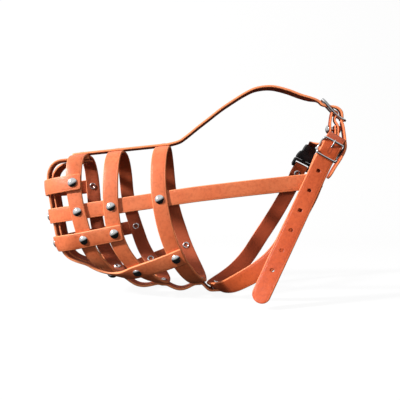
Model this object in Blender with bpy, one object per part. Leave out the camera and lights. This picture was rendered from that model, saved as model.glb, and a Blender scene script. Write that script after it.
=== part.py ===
"""Basket muzzle of riveted leather straps, with its neck and crown straps, buckles and clasp.

Lengths below are in millimetres, in the frame of the snout: +X towards the neck, +Z up, the
near side at -Y and the far side at +Y. The objects are placed in metres, with the origin in the
middle of the pad of the bridge strap that rests on the bridge of the nose.

The basket straps are laid on a smooth form of the snout, in layers. The harness straps are
free ribbons through given points. Arrays of points have the shape (..., 3).
"""

from collections import defaultdict, namedtuple

import bmesh
import bpy
import numpy as np

# ---------------------------------------------------------------- leather
STRAP_W = 15.0            # width of every basket, cheek and crown strap
COLLAR_W = 17.5           # width of the wider neck strap
LEATHER = 2.4             # leather thickness
GAP = 0.3                 # air between two layers of leather
LAYER = LEATHER + GAP     # pitch of the stacked layers
FOLD_T = 1.3              # leather skived thinner where it folds round a bar
BRIDGE_PAD = (-25.73, 0.0, 54.01)   # middle of the bridge pad, origin of the placed objects
SWING_AT = (10.8, 0.0, 2.2)         # where the cheek straps bend, origin of the harness straps

# ---------------------------------------------------------------- snout form
TOP_Z, TOP_RISE = 54.5, 0.105           # roof line at x = 0, rising towards the eyes
FLOOR_Z, FLOOR_X = -86.0, 15.0          # lowest point of the floor line
FLOOR_RISE, FLOOR_LEN = 23.0, 80.0      # its rise towards the chin, and the length of the rise
HALF_W, HALF_W_RISE = 45.5, 0.05        # half width at x = 0, growing rearwards
NOSE_X, NOSE_LEAN, NOSE_Z = -119.5, 0.17, 11.0   # tip of the nose, leaning with height
NOSE_LEN = 48.0                         # length over which the nose rounds off
EXP_SIDE, EXP_ROOF, EXP_NOSE = 2.6, 2.6, 2.4     # exponents, higher is squarer
SNUB_X, SNUB_LEN = -76.0, 25.0          # from here forward the nose grows squarer
SNUB_PLAN, SNUB_ROOF = 0.7, 1.9         # added to the exponents there

# Hoops: x at the roof, lean, sweep at the floor and its sharpness, then how far each half hangs
# rearwards: near side high and low, far side high and low.
Hoop = namedtuple("Hoop", "x lean sweep sharpness near_high near_low far_high far_low")
HOOPS = {"front": Hoop(-88.0, 8.0, 29.0, 6.0, 0.5, 6.5, -1.4, -0.4),
         "middle": Hoop(-50.0, 3.0, 45.0, 4.8, -0.3, -0.3, 1.0, 8.5),
         "rear": Hoop(-1.0, 8.0, 30.0, 3.5, -4.6, -4.0, 0.0, 3.9)}
HOOP_HUB_Z = -14.0        # the hoops are traced by rays from this height
HOOP_STEP = 7.0

# Nose bands: x and z of a point of the band, its slope, the x where it ends, and how much
# further forward it ends on the far side.
Band = namedtuple("Band", "x z slope end_x far_cut")
BANDS = {"upper": Band(-87.0, 16.1, 0.127, -78.0, 4.5),
         "middle": Band(-1.0, 0.4, 0.150, 9.8, 0.0),
         "lower": Band(-44.0, -32.0, 0.190, -36.6, 0.0)}
BAND_HUB_X = -80.0        # ahead of this the bands are traced by rays from the middle plane
BAND_STEP = 6.0

# Chin strap guide: x, distance from the middle plane, z. From behind the rear hoop, low on the
# side, under the chin, up the nose and onto the roof.
CHIN_GUIDE = [
    (22, 45, -53), (13, 44, -57), (-6, 40, -64.5), (-25.5, 33, -71),
    (-42, 21, -77), (-57, 12.5, -75), (-75, 9.6, -70), (-90, 9.4, -65),
    (-102, 9.4, -56), (-107, 9.4, -45), (-112, 9.4, -20), (-118, 9.4, 10),
    (-117, 9.2, 28), (-109, 8.0, 38), (-95, 4.4, 44), (-80.5, 1.2, 46)]
CHIN_GUIDE_STEP, CHIN_STEP, CHIN_SEARCH_STEP = 2.0, 6.0, 1.0
NOSE_SWELL = 3.4          # the chin straps bow out where they turn over the nose
SWELL_X, SWELL_Z, SWELL_R = -114, 37, 10

# x stations of the straps along the middle plane
BRIDGE_X = [-97.0, -90.0, -82.0, -70.0, -56.0, -42.0, -39.5, -11.5, -9.0, 3.0, 11.2]
PAD_START, PAD_END, PAD_SAG = -41, -10, 0.5     # the pad sags a little between the hoops
FLOOR_STRAP_X = [-45.0, -41.0, -36.0, -30.0, -24.0, -18.0, -12.0, -6.5,
                 -2.0, 4.0, 10.0, 17.0, 24.0, 30.0, 35.0, 40.8]
# Bows of the floor strap: x where the bow starts, its length and its height
FLOOR_BOWS = [(2.5, 29.0, 4.4), (-43.0, 37.0, 5.6)]
FORM_SPANS = 3            # faces across a strap that lies on the form

SIDES = ((-1, "near"), (1, "far"))


# ---------------------------------------------------------------- vectors and curves
def unit(vectors):
    vectors = np.asarray(vectors, float)
    return vectors / np.maximum(1e-12, np.linalg.norm(vectors, axis=-1, keepdims=True))


def smoothstep(amount):
    amount = np.clip(amount, 0.0, 1.0)
    return amount * amount * (3 - 2 * amount)


def even(points, step):
    """Resamples a polyline at an even step."""
    run = np.concatenate([[0], np.cumsum(np.linalg.norm(np.diff(points, axis=0), axis=1))])
    count = max(1, int(round(run[-1] / step)))
    stations = np.linspace(0, run[-1], count + 1)
    return np.stack([np.interp(stations, run, column) for column in points.T], 1)


def smooth_path(points, step):
    """Catmull-Rom curve through the points, resampled at an even step."""
    points = np.array(points, float)
    ext = np.vstack([2 * points[0] - points[1], points, 2 * points[-1] - points[-2]])
    t = np.linspace(0, 1, 24, endpoint=False)[:, None]
    pieces = []
    for before, start, end, after in zip(ext, ext[1:], ext[2:], ext[3:]):
        pieces.append(0.5 * (2 * start + (end - before) * t
                             + (2 * before - 5 * start + 4 * end - after) * t ** 2
                             + (3 * start - before - 3 * end + after) * t ** 3))
    return even(np.vstack(pieces + [points[-1:]]), step)


class Frame:
    """Local right-handed axes: along, across and out, with out made square to along."""

    def __init__(self, origin, along, out):
        self.origin = np.array(origin, float)
        self.along = unit(along)
        self.out = unit(np.asarray(out, float) - self.along * np.dot(out, self.along))
        self.across = unit(np.cross(self.out, self.along))

    def __call__(self, along, across, out):
        """The point at the given distances along the axes."""
        return self.origin + along * self.along + across * self.across + out * self.out

    def profile(self, pairs):
        """Points of the frame's middle plane from (along, out) pairs."""
        return [self(along, 0, out) for along, out in pairs]


# ---------------------------------------------------------------- the form of the dog's snout
def roof(x):
    return TOP_Z + TOP_RISE * x


def floor_z(x):
    return FLOOR_Z + FLOOR_RISE * (1 - np.exp(-((x - FLOOR_X) / FLOOR_LEN) ** 2))


def snout(points):
    """Negative inside the snout form, zero on it."""
    x, y, z = points[..., 0], points[..., 1], points[..., 2]
    top, bottom = roof(x), floor_z(x)
    middle, half_height = 0.5 * (top + bottom), 0.5 * (top - bottom)
    half_width = HALF_W + HALF_W_RISE * x
    tip = NOSE_X - NOSE_LEAN * (z - NOSE_Z)
    nose = np.maximum(0.0, (tip + NOSE_LEN - x) / NOSE_LEN)
    snub = smoothstep((SNUB_X - x) / SNUB_LEN)
    plan = np.abs(y / half_width) ** EXP_SIDE + nose ** EXP_NOSE
    height = np.abs((z - middle) / half_height)
    return plan ** (1 + SNUB_PLAN * snub) + height ** (EXP_ROOF + SNUB_ROOF * snub) - 1.0


def slope(points, delta=0.05):
    """Gradient of the snout function by central differences."""
    gradient = np.zeros(points.shape)
    for k in range(3):
        step = np.zeros(3)
        step[k] = delta
        gradient[..., k] = (snout(points + step) - snout(points - step)) / (2 * delta)
    return gradient


def onto_snout(points):
    """Moves points along the slope onto the snout form, at most 4 mm in a round."""
    points = np.array(points, float)
    for _ in range(12):
        gradient = slope(points)
        scale = snout(points) / np.maximum(1e-9, (gradient * gradient).sum(-1))
        move = gradient * scale[..., None]
        length = np.linalg.norm(move, axis=-1, keepdims=True)
        points = points - move * np.minimum(1.0, 4.0 / np.maximum(length, 1e-9))
    return points


def outward(points):
    return unit(slope(points))


def ray_hit(count, toward):
    """Where rays that start inside the form leave it; toward gives points from distances."""
    low, high = np.zeros(count), np.full(count, 170.0)
    for _ in range(40):
        middle = 0.5 * (low + high)
        inside = snout(toward(middle)) < 0
        low, high = np.where(inside, middle, low), np.where(inside, high, middle)
    return toward(0.5 * (low + high))


def hoop_x(name, y, z):
    """The hoop's surface, bent rearwards towards the floor, its halves hanging differently."""
    hoop = HOOPS[name]
    bottom = floor_z(hoop.x + hoop.lean + hoop.sweep)
    drop = np.clip((roof(hoop.x) - z) / (roof(hoop.x) - bottom), 0.0, 1.15)
    low = smoothstep((drop - 0.25) / 0.45)
    side = np.clip(np.asarray(y, float) / HALF_W, -1.0, 1.0)
    hang = np.where(side < 0, hoop.near_high + (hoop.near_low - hoop.near_high) * low,
                    hoop.far_high + (hoop.far_low - hoop.far_high) * low)
    hang = hang * side ** 2 * (1.5 - 0.5 * np.abs(side))
    return hoop.x + hoop.lean * drop + hoop.sweep * drop ** hoop.sharpness + hang


def band_z(name, x):
    band = BANDS[name]
    return band.z + band.slope * (x - band.x)


def side_point(x, z, side):
    """The point of the form at x and z on one side (side -1 is near, +1 is far)."""
    def toward(reach):
        return np.stack([np.full_like(reach, x), side * reach, np.full_like(reach, z)], -1)
    return ray_hit(1, toward)[0]


def cross_point(hoop, band, side):
    """Where a band crosses a hoop."""
    x = HOOPS[hoop].x
    for _ in range(30):
        z = band_z(band, x)
        x = float(hoop_x(hoop, side_point(x, z, side)[1], z))
    return side_point(x, z, side)


def centre_line(stations, surface):
    """Points of the form in the middle plane, near the given roof or floor line."""
    x = np.array(stations, float)
    return onto_snout(np.stack([x, 0 * x, surface(x)], 1)) * [1, 0, 1]


# ---------------------------------------------------------------- paths of the basket straps
def hoop_path(name):
    """A full turn round the snout, starting at the floor."""
    angles = np.linspace(-np.pi, np.pi, 361)

    def toward(reach):
        y = -reach * np.sin(angles)
        z = HOOP_HUB_Z + reach * np.cos(angles)
        return np.stack([hoop_x(name, y, z), y, z], -1)
    return even(ray_hit(len(angles), toward), HOOP_STEP)


def band_path(name):
    """From the near side round the nose to the far side."""
    band = BANDS[name]
    angles = np.linspace(-np.pi / 2, np.pi / 2, 181)

    def toward(reach):
        x = BAND_HUB_X - reach * np.cos(angles)
        return np.stack([x, reach * np.sin(angles), band_z(name, x)], -1)
    front = ray_hit(len(angles), toward)
    stations = np.arange(band.end_x, BAND_HUB_X, -2.0)
    near = np.array([side_point(x, band_z(name, x), -1) for x in stations])
    path = np.vstack([near, front, (near * [1, -1, 1])[::-1]])
    path = path[(path[:, 1] < 0) | (path[:, 0] <= band.end_x - band.far_cut)]
    return even(path, BAND_STEP)


def chin_path(side, step):
    guide = np.array(CHIN_GUIDE, float) * [1, side, 1]
    return even(onto_snout(smooth_path(guide, CHIN_GUIDE_STEP)), step)


# ---------------------------------------------------------------- heights of the basket straps
def constant(height):
    return lambda points: np.full(len(points), float(height))


def chin_height(side):
    """Layer of a chin strap: outside the hoops below, under the nose bands in front, and under
    the front hoop on the roof, where the far strap lies under the near one."""
    under = LAYER * (1.0 if side < 0 else 2.0)

    def height(points):
        x, z = points[:, 0], points[:, 2]
        below = np.where(x < -58, LAYER * np.clip(1 + (x + 66) / 26.0, 0, 1), LAYER)
        below = np.where((x < -90) & (z > -56), 0.0, below)
        above = -under * smoothstep((z - 24.0) / 14.0)
        swell = NOSE_SWELL * np.exp(-((x - SWELL_X) / SWELL_R) ** 2
                                    - ((z - SWELL_Z) / SWELL_R) ** 2)
        return np.where(z > 0, above, below) + swell
    return height


def middle_height(points):
    """The middle band lies inside the hoops, and outside the chin straps at the nose."""
    inward = smoothstep((np.abs(points[:, 1]) - 20.0) / 14.0)
    return np.where(points[:, 0] < -84, LAYER * (1 - 2 * inward), -LAYER)


def bridge_height(points):
    x = points[:, 0]
    return LAYER - np.where((x > PAD_START) & (x < PAD_END), PAD_SAG, 0.0)


def floor_height(points):
    """The floor strap bows away from the form on either side of the rear hoop's front edge."""
    height = LAYER
    for start, length, rise in FLOOR_BOWS:
        part = np.clip((points[:, 0] - start) / length, 0, 1)
        height = height + rise * np.sin(np.pi * part) ** 1.3
    return height


# ---------------------------------------------------------------- buckles and clasp
# Both buckles: the frame's origin is the middle of the pivot bar, along points from the prong
# bar, where the prong's tip rests, to the tail bar, where the strap's tail leaves; out points
# away from the dog. Then half the frame's width, the distances from the pivot to the two bars,
# and their lifts above it.
Buckle = namedtuple("Buckle", "frame half_w prong_bar tail_bar prong_lift tail_lift")
NECK = Buckle(Frame((156.6, -56.5, 44.3), along=(-0.48, 0.0, -0.877), out=(0.0, -1.0, 0.0)),
              half_w=10.0, prong_bar=11.0, tail_bar=5.6, prong_lift=4.9, tail_lift=5.4)
CROWN = Buckle(Frame((181.2, 0.0, 92.2), along=(0.727, 0.0, -0.687), out=(0.66, -0.25, 0.70)),
               half_w=10.6, prong_bar=19.2, tail_bar=12.4, prong_lift=1.2, tail_lift=1.6)
BAR_R, PRONG_R = 1.1, 0.85
PRONG_AIR = 0.3           # between the pivot bar and the prong's hook
BAR_AIR = 0.35            # between a bar and what passes it
FOLD_AIR = 0.25           # between a bar and the leather folded round it
UNDER_BAR = BAR_R + BAR_AIR + LEATHER / 2     # from a bar to the middle of a strap under it
SLOT_HALF = 1.4           # half width of the slots that the prongs pass through

# Side-release clasp: its origin is the middle of the plug's bar, along points up the clasp,
# across to its rear edge, out to the far side.
CLASP = Frame((157.0, 50.5, 39.0), along=(0.444, -0.143, 0.885), out=(0.0, 1.0, 0.10))
PLUG_H, CLASP_HALF = 8.4, 11.4            # length of the plug's body, half width of the clasp
PLUG_HALF_T, SOCKET_HALF_T = 3.4, 4.3     # half thicknesses
PLUG_RAIL = 2.6                           # width of the plug's side rails
SOCKET_LEN = 18.5
SOCKET_START = PLUG_H + 0.5
SOCKET_END = SOCKET_START + SOCKET_LEN
ARM_ROOT = PLUG_H + 0.4
ARM_MIDDLE, ARM_HALF_T = 6.5, 1.5

# Outlines: distance along the clasp, distance from its middle
ARM_OUTLINE = [(ARM_ROOT, 5.4), (ARM_ROOT, 7.6), (ARM_ROOT + 3.4, 7.9), (ARM_ROOT + 6.2, 9.6),
               (ARM_ROOT + 7.6, 8.4), (ARM_ROOT + 8.2, 6.4), (ARM_ROOT + 5.0, 5.8)]
SOCKET_SIDE = [(SOCKET_START, 10.4), (SOCKET_START + 3.0, 10.4), (SOCKET_START + 6.6, 9.6),
               (SOCKET_START + 8.8, 8.6), (SOCKET_START + 9.6, 7.2), (SOCKET_END - 3.0, 6.8),
               (SOCKET_END - 0.8, 6.4), (SOCKET_END, 5.4)]
CAVITY_SIDE = [(SOCKET_START - 2, 9.1), (SOCKET_START + 6.2, 8.6), (SOCKET_START + 8.6, 7.4),
               (SOCKET_START + 9.4, 5.6), (SOCKET_START + 13.0, 4.8)]
PLUG_SIDE = [(-2.0, CLASP_HALF - 1.5), (0.5, CLASP_HALF), (PLUG_H - 1.2, CLASP_HALF),
             (PLUG_H, CLASP_HALF - 1.2)]
TONGUE_SIDE = [(PLUG_H - 1, 2.6), (PLUG_H + 12, 1.8)]


def mirrored(side):
    """Closes a half outline with its mirror image."""
    return side + [(along, -across) for along, across in side[::-1]]


def buckle_loop(buckle):
    """Corners of the wire frame, once round: prong bar, rail, tail bar and back."""
    half, near_bar, far_bar = buckle.half_w, -buckle.prong_bar, buckle.tail_bar
    near_lift, far_lift = buckle.prong_lift, buckle.tail_lift
    side = [(near_bar, half - 2.2, near_lift), (near_bar + 0.6, half - 0.6, near_lift),
            (near_bar + 2.2, half, near_lift - 0.2), (near_bar * 0.5, half, near_lift * 0.36),
            (0, half, 0),
            (far_bar * 0.5, half, far_lift * 0.36), (far_bar - 2.0, half, far_lift - 0.3),
            (far_bar - 0.5, half - 0.6, far_lift), (far_bar, half - 2.2, far_lift)]
    side += [(along, -across, out) for along, across, out in side[::-1]]
    return [buckle.frame(*corner) for corner in side]


def prong_line(buckle):
    """From the hook round the pivot bar to the tip that rests on the prong bar."""
    radius = BAR_R + PRONG_AIR + PRONG_R
    angles = np.linspace(np.radians(-150), np.radians(100), 8)
    hook = [(radius * np.cos(angle), radius * np.sin(angle)) for angle in angles]
    tip = buckle.prong_lift + BAR_R + BAR_AIR + PRONG_R
    shank = [(-buckle.prong_bar * 0.55, max(tip * 0.82, radius + 0.6)),
             (-buckle.prong_bar + 0.6, tip), (-buckle.prong_bar - 1.3, tip - 0.25)]
    return buckle.frame.profile(hook + shank)


# ---------------------------------------------------------------- lines of the harness
# A line is its centre points and, at each, the direction of the strap's width.
TILT = np.array([0.88, 0.0, -0.47])        # the neck strap's width lies this way at the sides

# Cheek strap: x, distance from the middle plane, z
CHEEK = [(11.5, 43.9, 2.3), (30, 46.0, 5.0), (60, 49.0, 8.6), (90, 50.6, 12.0),
         (120, 50.6, 15.2), (146, 50.6, 18.0), (153.5, 50.6, 18.8)]
CHEEK_ACROSS, CHEEK_STEP = (-0.13, 0, 1), 18.0

# Throat strap: x, y, z, and how far its width turns towards -Y. Down the near side, under the
# throat and up the far side; the near half hangs further back.
THROAT = np.array([
    (140.5, -54.2, 6, 0), (129.6, -54.2, -14.6, 0.03), (123, -53.6, -28.4, 0.12),
    (115.5, -52.2, -44.0, 0.28), (105, -49.5, -57.5, 0.34), (92, -45, -69.0, 0.3),
    (78, -37.5, -79.0, 0.2), (66.5, -26.5, -87.0, 0.10), (57, -13, -91.2, 0.04),
    (52.6, 0, -92.2, 0), (56.5, 13, -91.6, 0), (65.5, 27, -88.8, 0),
    (78.5, 39.5, -81.5, 0), (94, 48.5, -66.5, 0), (111, 53.0, -42, 0),
    (127.5, 54.2, -17, 0), (142, 54.2, 8, 0), (150.5, 54.0, 24, 0)])
# Its fold through the clasp: along, out
CLASP_FOLD = [(-9.0, 1.9), (-4.5, 2.5), (0.2, 2.75), (2.6, 2.1), (3.3, 0.0),
              (2.4, -2.0), (0.0, -2.45), (-4.5, -1.35), (-12.0, -1.05)]
# It is trimmed narrower towards that fold: less width at the last points before it, and in it
CLASP_TRIM = [0.4, 0.9, 1.7] + [2.1] * 8

# Near half of the nape strap, over the neck: x, y, z, and its width's direction
NAPE_NEAR = np.array([
    (179.3, 8.4, 56.0, 0, 0, -1), (179.3, 0.0, 56.0, 0, 0, -1),
    (179.1, -9.0, 56.3, 0.05, 0, -1), (176.8, -24.0, 58.6, 0.5, 0, -0.87),
    (172.8, -38.0, 60.6, 0.75, -0.1, -0.66), (168.4, -49.0, 60.2, 0.86, -0.1, -0.5)])
# Far half, from the crown loop: the same columns
NAPE_FAR = np.array([
    (179.3, 10.8, 56.0, 0, 0, -1), (179.1, 15.0, 56.2, 0, 0, -1),
    (178.4, 22.0, 57.4, 0.3, 0, -0.95), (177.0, 29.5, 59.2, 0.6, 0, -0.8)])
# Its end in the socket: along, out
NAPE_END = [(SOCKET_END + 3.4, -5.4), (SOCKET_END + 2.6, -1.8), (SOCKET_END - 1.2, 0.6)]
NAPE_FAR_W = COLLAR_W - 1.5
NAPE_NARROWING = np.array([1.0, 1.0, 1.0, 0.95, 0.75, 0.62, 0.58])

TAIL_END = np.array([90.3, -64.5, -94.2])  # lower end of the neck strap's tail
TAIL_END_ACROSS = (0.82, -0.44, -0.37)
HOLE_START, HOLE_PITCH, HOLE_COUNT, HOLE_R = 9.5, 20.3, 6, 1.6

# Crown strap in the middle plane: x, z
CROWN_CENTRE = [(15.8, 62.4), (22, 66.6), (35.4, 77.4), (46.6, 86.1), (59.6, 96.3),
                (73.0, 105.4), (86.0, 113.4), (97.0, 118.3), (113.1, 120.1), (129.6, 116.6),
                (145, 111.0), (155, 108.1)]
# Its run through the crown buckle after the prong bar: along, out
CROWN_RUN = [(-9.5, 1.9), (-5.5, 5.0), (-1.0, 6.5), (3.5, 6.0), (7.0, 3.6), (9.2, 1.2),
             (10.6, -0.9)]
# Its hanging tail: x, z
CROWN_TAIL = [(189.3, 80.9), (190.2, 73.0), (190.6, 62.0), (189.6, 53.0), (184.7, 43.4),
              (177.8, 33.5), (171.2, 23.0)]
CROWN_TAIL_Y, CROWN_TAIL_DRIFT = -0.3, -1.9     # y at its start, and the change at each point

LOOP_W, LOOP_T = 12.0, 2.0
# Crown loop below the buckle, x and z: its rear end, then its run down, under the nape strap
# and up
LOOP_START = [(185.0, 66.5), (185.0, 73.0), (184.7, 79.0)]
LOOP_RUN = [(176.6, 83.0), (176.2, 74.0), (176.1, 62.0), (176.2, 50.0), (176.5, 45.0),
            (179.3, 42.2), (182.3, 45.0), (182.6, 56.0), (181.8, 68.0), (181.4, 79.5)]


def in_middle_plane(pairs):
    return [(x, 0.0, z) for x, z in pairs]


def throat_line():
    """From its fold on the neck buckle, under the throat, to its fold in the clasp."""
    turn_r = BAR_R + FOLD_AIR + FOLD_T / 2
    slant = turn_r * 0.72
    fold = [(11.5, 0.45), (6.0, 0.55), (2.6, turn_r - 0.35), (0.0, turn_r), (-slant, slant),
            (-turn_r, 0.0), (-slant, -slant), (0.0, -turn_r - 0.1), (4.0, -2.35), (9.5, -2.1)]
    points = np.vstack([NECK.frame.profile(fold), THROAT[:, :3], CLASP.profile(CLASP_FOLD)])
    body_across = unit(TILT - THROAT[:, 3:] * [0, 1, 0])
    across = np.vstack([[NECK.frame.across] * len(fold), body_across,
                        [CLASP.across] * len(CLASP_FOLD)])
    thick = [FOLD_T] * len(fold) + [LEATHER] * len(THROAT) + [FOLD_T] * len(CLASP_FOLD)
    return points, across, thick


def nape_near_line():
    """Over the neck, under the prong bar, over the pivot and under the tail bar."""
    over_fold = BAR_R + FOLD_AIR + FOLD_T + GAP + LEATHER / 2
    through = [(-NECK.prong_bar, NECK.prong_lift - UNDER_BAR - 0.3),
               (-NECK.prong_bar * 0.5, over_fold + 0.1), (0.0, over_fold + 0.45),
               (NECK.tail_bar, NECK.tail_lift - UNDER_BAR),
               (NECK.tail_bar + 3.4, NECK.tail_lift - UNDER_BAR - 0.2)]
    points = np.vstack([NAPE_NEAR[:, :3], NECK.frame.profile(through)])
    return points, np.vstack([NAPE_NEAR[:, 3:], [NECK.frame.across] * len(through)])


def nape_far_line():
    """From the crown loop over the far side of the neck, narrowed to enter the socket."""
    points = np.vstack([NAPE_FAR[:, :3], CLASP.profile(NAPE_END)])
    across = unit(np.vstack([NAPE_FAR[:, 3:], [CLASP.across] * len(NAPE_END)]))
    count = len(points)
    stations = np.linspace(0, count - 1, 4 * count - 3)

    def subdivided(values):
        return np.interp(stations, np.arange(count), values)
    points = np.stack([subdivided(column) for column in points.T], 1)
    across = np.stack([subdivided(column) for column in across.T], 1)
    return points, across, subdivided(NAPE_NARROWING * NAPE_FAR_W)


def neck_tail_line():
    start = NECK.frame(NECK.tail_bar + 5.1, 0, NECK.tail_lift - UNDER_BAR - 0.25)
    part = np.linspace(0, 1, 9)[:, None]
    across = NECK.frame.across * (1 - part) + unit(TAIL_END_ACROSS) * part
    return start + (TAIL_END - start) * part, unit(across)


def crown_line():
    """Over the head, under the prong bar, over the pivot and down towards the tail bar."""
    run = [(-CROWN.prong_bar - 2.0, CROWN.prong_lift - UNDER_BAR - 0.4),
           (-CROWN.prong_bar + 3.0, CROWN.prong_lift - UNDER_BAR - 0.2)] + CROWN_RUN
    points = np.vstack([in_middle_plane(CROWN_CENTRE), CROWN.frame.profile(run)])
    across = [(0, -1, 0)] * (len(CROWN_CENTRE) - 3)
    across += [(-0.03, -1, 0), (-0.08, -1, 0), (-0.16, -1, 0)]
    return points, np.vstack([across, [-CROWN.frame.across] * len(run)])


def crown_tail_line():
    points = [(x, CROWN_TAIL_Y + CROWN_TAIL_DRIFT * k, z) for k, (x, z) in enumerate(CROWN_TAIL)]
    across = [-CROWN.frame.across] * 3 + [(-0.12, -1, 0)] * (len(points) - 3)
    return np.array(points), np.array(across)


def loop_line():
    """The folded strip: free end behind, over the pivot bar, down in front, under the nape
    strap and up."""
    radius = BAR_R + 0.7 + LOOP_T / 2
    turn = [(radius + 2.2, -4.6)]
    turn += [(radius * np.cos(angle), radius * np.sin(angle))
             for angle in np.radians([-20, 20, 60, 100, 140, 175, 205])]
    points = np.vstack([in_middle_plane(LOOP_START), CROWN.frame.profile(turn),
                        in_middle_plane(LOOP_RUN)])
    across = [-CROWN.frame.across] * 12 + [(-0.1, -1, 0)] * (len(points) - 12)
    return points, np.array(across)


# ---------------------------------------------------------------- solids
# A solid is a pair: points in millimetres, and faces as tuples of point numbers.
TUBE_SIDES, TURNED_SIDES = 6, 8


def form_rows(path, height, loop=False):
    """Inner and outer rows of points of a strap that lies on the snout form."""
    if loop:
        path = path[:-1]
        tangent = unit(np.roll(path, -1, 0) - np.roll(path, 1, 0))
    else:
        tangent = unit(np.gradient(path, axis=0))
    across = unit(np.cross(tangent, outward(path)))
    lift = height(path)[:, None]
    inner, outer = [], []
    for part in np.linspace(-0.5, 0.5, FORM_SPANS + 1):
        points = onto_snout(path + across * (part * STRAP_W))
        normal = outward(points)
        inner.append(points + normal * lift)
        outer.append(points + normal * (lift + LEATHER))
    return np.stack(inner, 1), np.stack(outer, 1)


def free_rows(points, across, width, thick=LEATHER):
    """Inner and outer rows of a free strap; width and thickness may vary along it."""
    tangent = unit(np.gradient(points, axis=0))
    normal = unit(np.cross(unit(across), tangent))
    across = unit(np.cross(tangent, normal))
    thick = np.broadcast_to(np.asarray(thick, float), (len(points),))[:, None]
    width = np.broadcast_to(np.asarray(width, float), (len(points),))[:, None]
    edges = [points + across * width * part for part in (-0.5, 0.5)]
    inner = np.stack([edge - normal * thick / 2 for edge in edges], 1)
    outer = np.stack([edge + normal * thick / 2 for edge in edges], 1)
    return inner, outer


def ribbon(rows, loop=False):
    inner, outer = rows
    count, columns = inner.shape[:2]
    size = 2 * columns
    verts = np.concatenate([inner, outer[:, ::-1]], axis=1).reshape(-1, 3)
    faces = []
    for i in range(count if loop else count - 1):
        ring, after = i * size, ((i + 1) % count) * size
        for j in range(size):
            k = (j + 1) % size
            faces.append((ring + j, after + j, after + k, ring + k))
    if not loop:
        for ring in (0, (count - 1) * size):
            for j in range(columns - 1):
                faces.append((ring + j, ring + j + 1, ring + size - 2 - j, ring + size - 1 - j))
    return verts, faces


def circle(centre, radius, sides, first, second):
    angles = (np.arange(sides) * 2 * np.pi / sides)[:, None]
    return centre + radius * (np.cos(angles) * first + np.sin(angles) * second)


def end_caps(count, sides):
    return [tuple(range(sides))[::-1], tuple(range((count - 1) * sides, count * sides))]


def tube(points, radius, loop=False):
    """A round wire along the points."""
    points = np.asarray(points, float)
    if loop:
        tangent = unit(np.roll(points, -1, 0) - np.roll(points, 1, 0))
    else:
        tangent = unit(np.gradient(points, axis=0))
    plane = unit(np.cross(tangent[0], tangent[len(tangent) // 3] + [0.01, 0.02, 0.03]))
    first = unit(np.cross(tangent[0], plane))
    rings = []
    for point, along in zip(points, tangent):
        first = unit(first - along * np.dot(first, along))
        rings.append(circle(point, radius, TUBE_SIDES, first, np.cross(along, first)))
    count, faces = len(points), []
    for i in range(count if loop else count - 1):
        shift = 0
        if i == count - 1:    # close the loop with the least twist
            twists = [np.linalg.norm(np.roll(rings[0], -s, 0) - rings[-1], axis=1).sum()
                      for s in range(TUBE_SIDES)]
            shift = int(np.argmin(twists))
        ring, after = i * TUBE_SIDES, ((i + 1) % count) * TUBE_SIDES
        for j in range(TUBE_SIDES):
            k = (j + 1) % TUBE_SIDES
            faces.append((ring + j, ring + k,
                          after + (k + shift) % TUBE_SIDES, after + (j + shift) % TUBE_SIDES))
    if not loop:
        faces += end_caps(count, TUBE_SIDES)
    return np.vstack(rings), faces


def turned(origin, axis, profile):
    """A turned solid: profile of (radius, height) pairs along the axis."""
    axis = unit(axis)
    first = unit(np.cross(axis, [0.3, 0.9, 0.2] if abs(axis[1]) < 0.9 else [1, 0, 0]))
    second = np.cross(axis, first)
    sides = TURNED_SIDES
    verts = [circle(origin + axis * height, radius, sides, first, second)
             for radius, height in profile]
    faces = []
    for i in range(len(profile) - 1):
        for j in range(sides):
            k = (j + 1) % sides
            faces.append((i * sides + j, i * sides + k, (i + 1) * sides + k, (i + 1) * sides + j))
    return np.vstack(verts), faces + end_caps(len(profile), sides)


def rod(origin, axis, radius, low, high):
    return turned(origin, axis, [(radius, low), (radius, high)])


def block(frame, low, high):
    """A box between two corners in a frame."""
    verts = [frame(u, v, w) for u in (low[0], high[0])
             for v in (low[1], high[1]) for w in (low[2], high[2])]
    return np.array(verts), [(0, 1, 3, 2), (4, 6, 7, 5), (0, 4, 5, 1),
                             (2, 3, 7, 6), (0, 2, 6, 4), (1, 5, 7, 3)]


def plate(frame, outline, half_t):
    """An outline in a frame's first two directions, given a thickness in the third."""
    n = len(outline)
    verts = [frame(along, across, out) for out in (-half_t, half_t) for along, across in outline]
    faces = end_caps(2, n)
    faces += [(i, (i + 1) % n, n + (i + 1) % n, n + i) for i in range(n)]
    return np.array(verts), faces


def joined(solids):
    verts, faces, base = [], [], 0
    for part_verts, part_faces in solids:
        verts.append(part_verts)
        faces += [tuple(i + base for i in face) for face in part_faces]
        base += len(part_verts)
    return np.vstack(verts), faces


# ---------------------------------------------------------------- Blender objects
MATERIALS = {
    "leather": dict(colour=(0.78, 0.26, 0.07, 1), roughness=0.45, metallic=0.0),
    "harness leather": dict(colour=(0.58, 0.15, 0.04, 1), roughness=0.5, metallic=0.0),
    "nickel": dict(colour=(0.80, 0.80, 0.82, 1), roughness=0.15, metallic=1.0),
    "black plastic": dict(colour=(0.015, 0.015, 0.018, 1), roughness=0.25, metallic=0.0)}


def material(kind, name):
    look = MATERIALS[kind]
    made = bpy.data.materials.new(name + " " + kind)
    made.use_nodes = True
    shader = made.node_tree.nodes["Principled BSDF"]
    shader.inputs["Base Color"].default_value = look["colour"]
    shader.inputs["Roughness"].default_value = look["roughness"]
    shader.inputs["Metallic"].default_value = look["metallic"]
    made.diffuse_color = look["colour"]
    return made


def metres(points):
    return (np.asarray(points, float) - BRIDGE_PAD) / 1000.0


def face_outwards(mesh):
    bm = bmesh.new()
    bm.from_mesh(mesh)
    bmesh.ops.recalc_face_normals(bm, faces=bm.faces)
    if bm.calc_volume(signed=True) < 0:
        bmesh.ops.reverse_faces(bm, faces=bm.faces)
    bm.to_mesh(mesh)
    bm.free()


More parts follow.
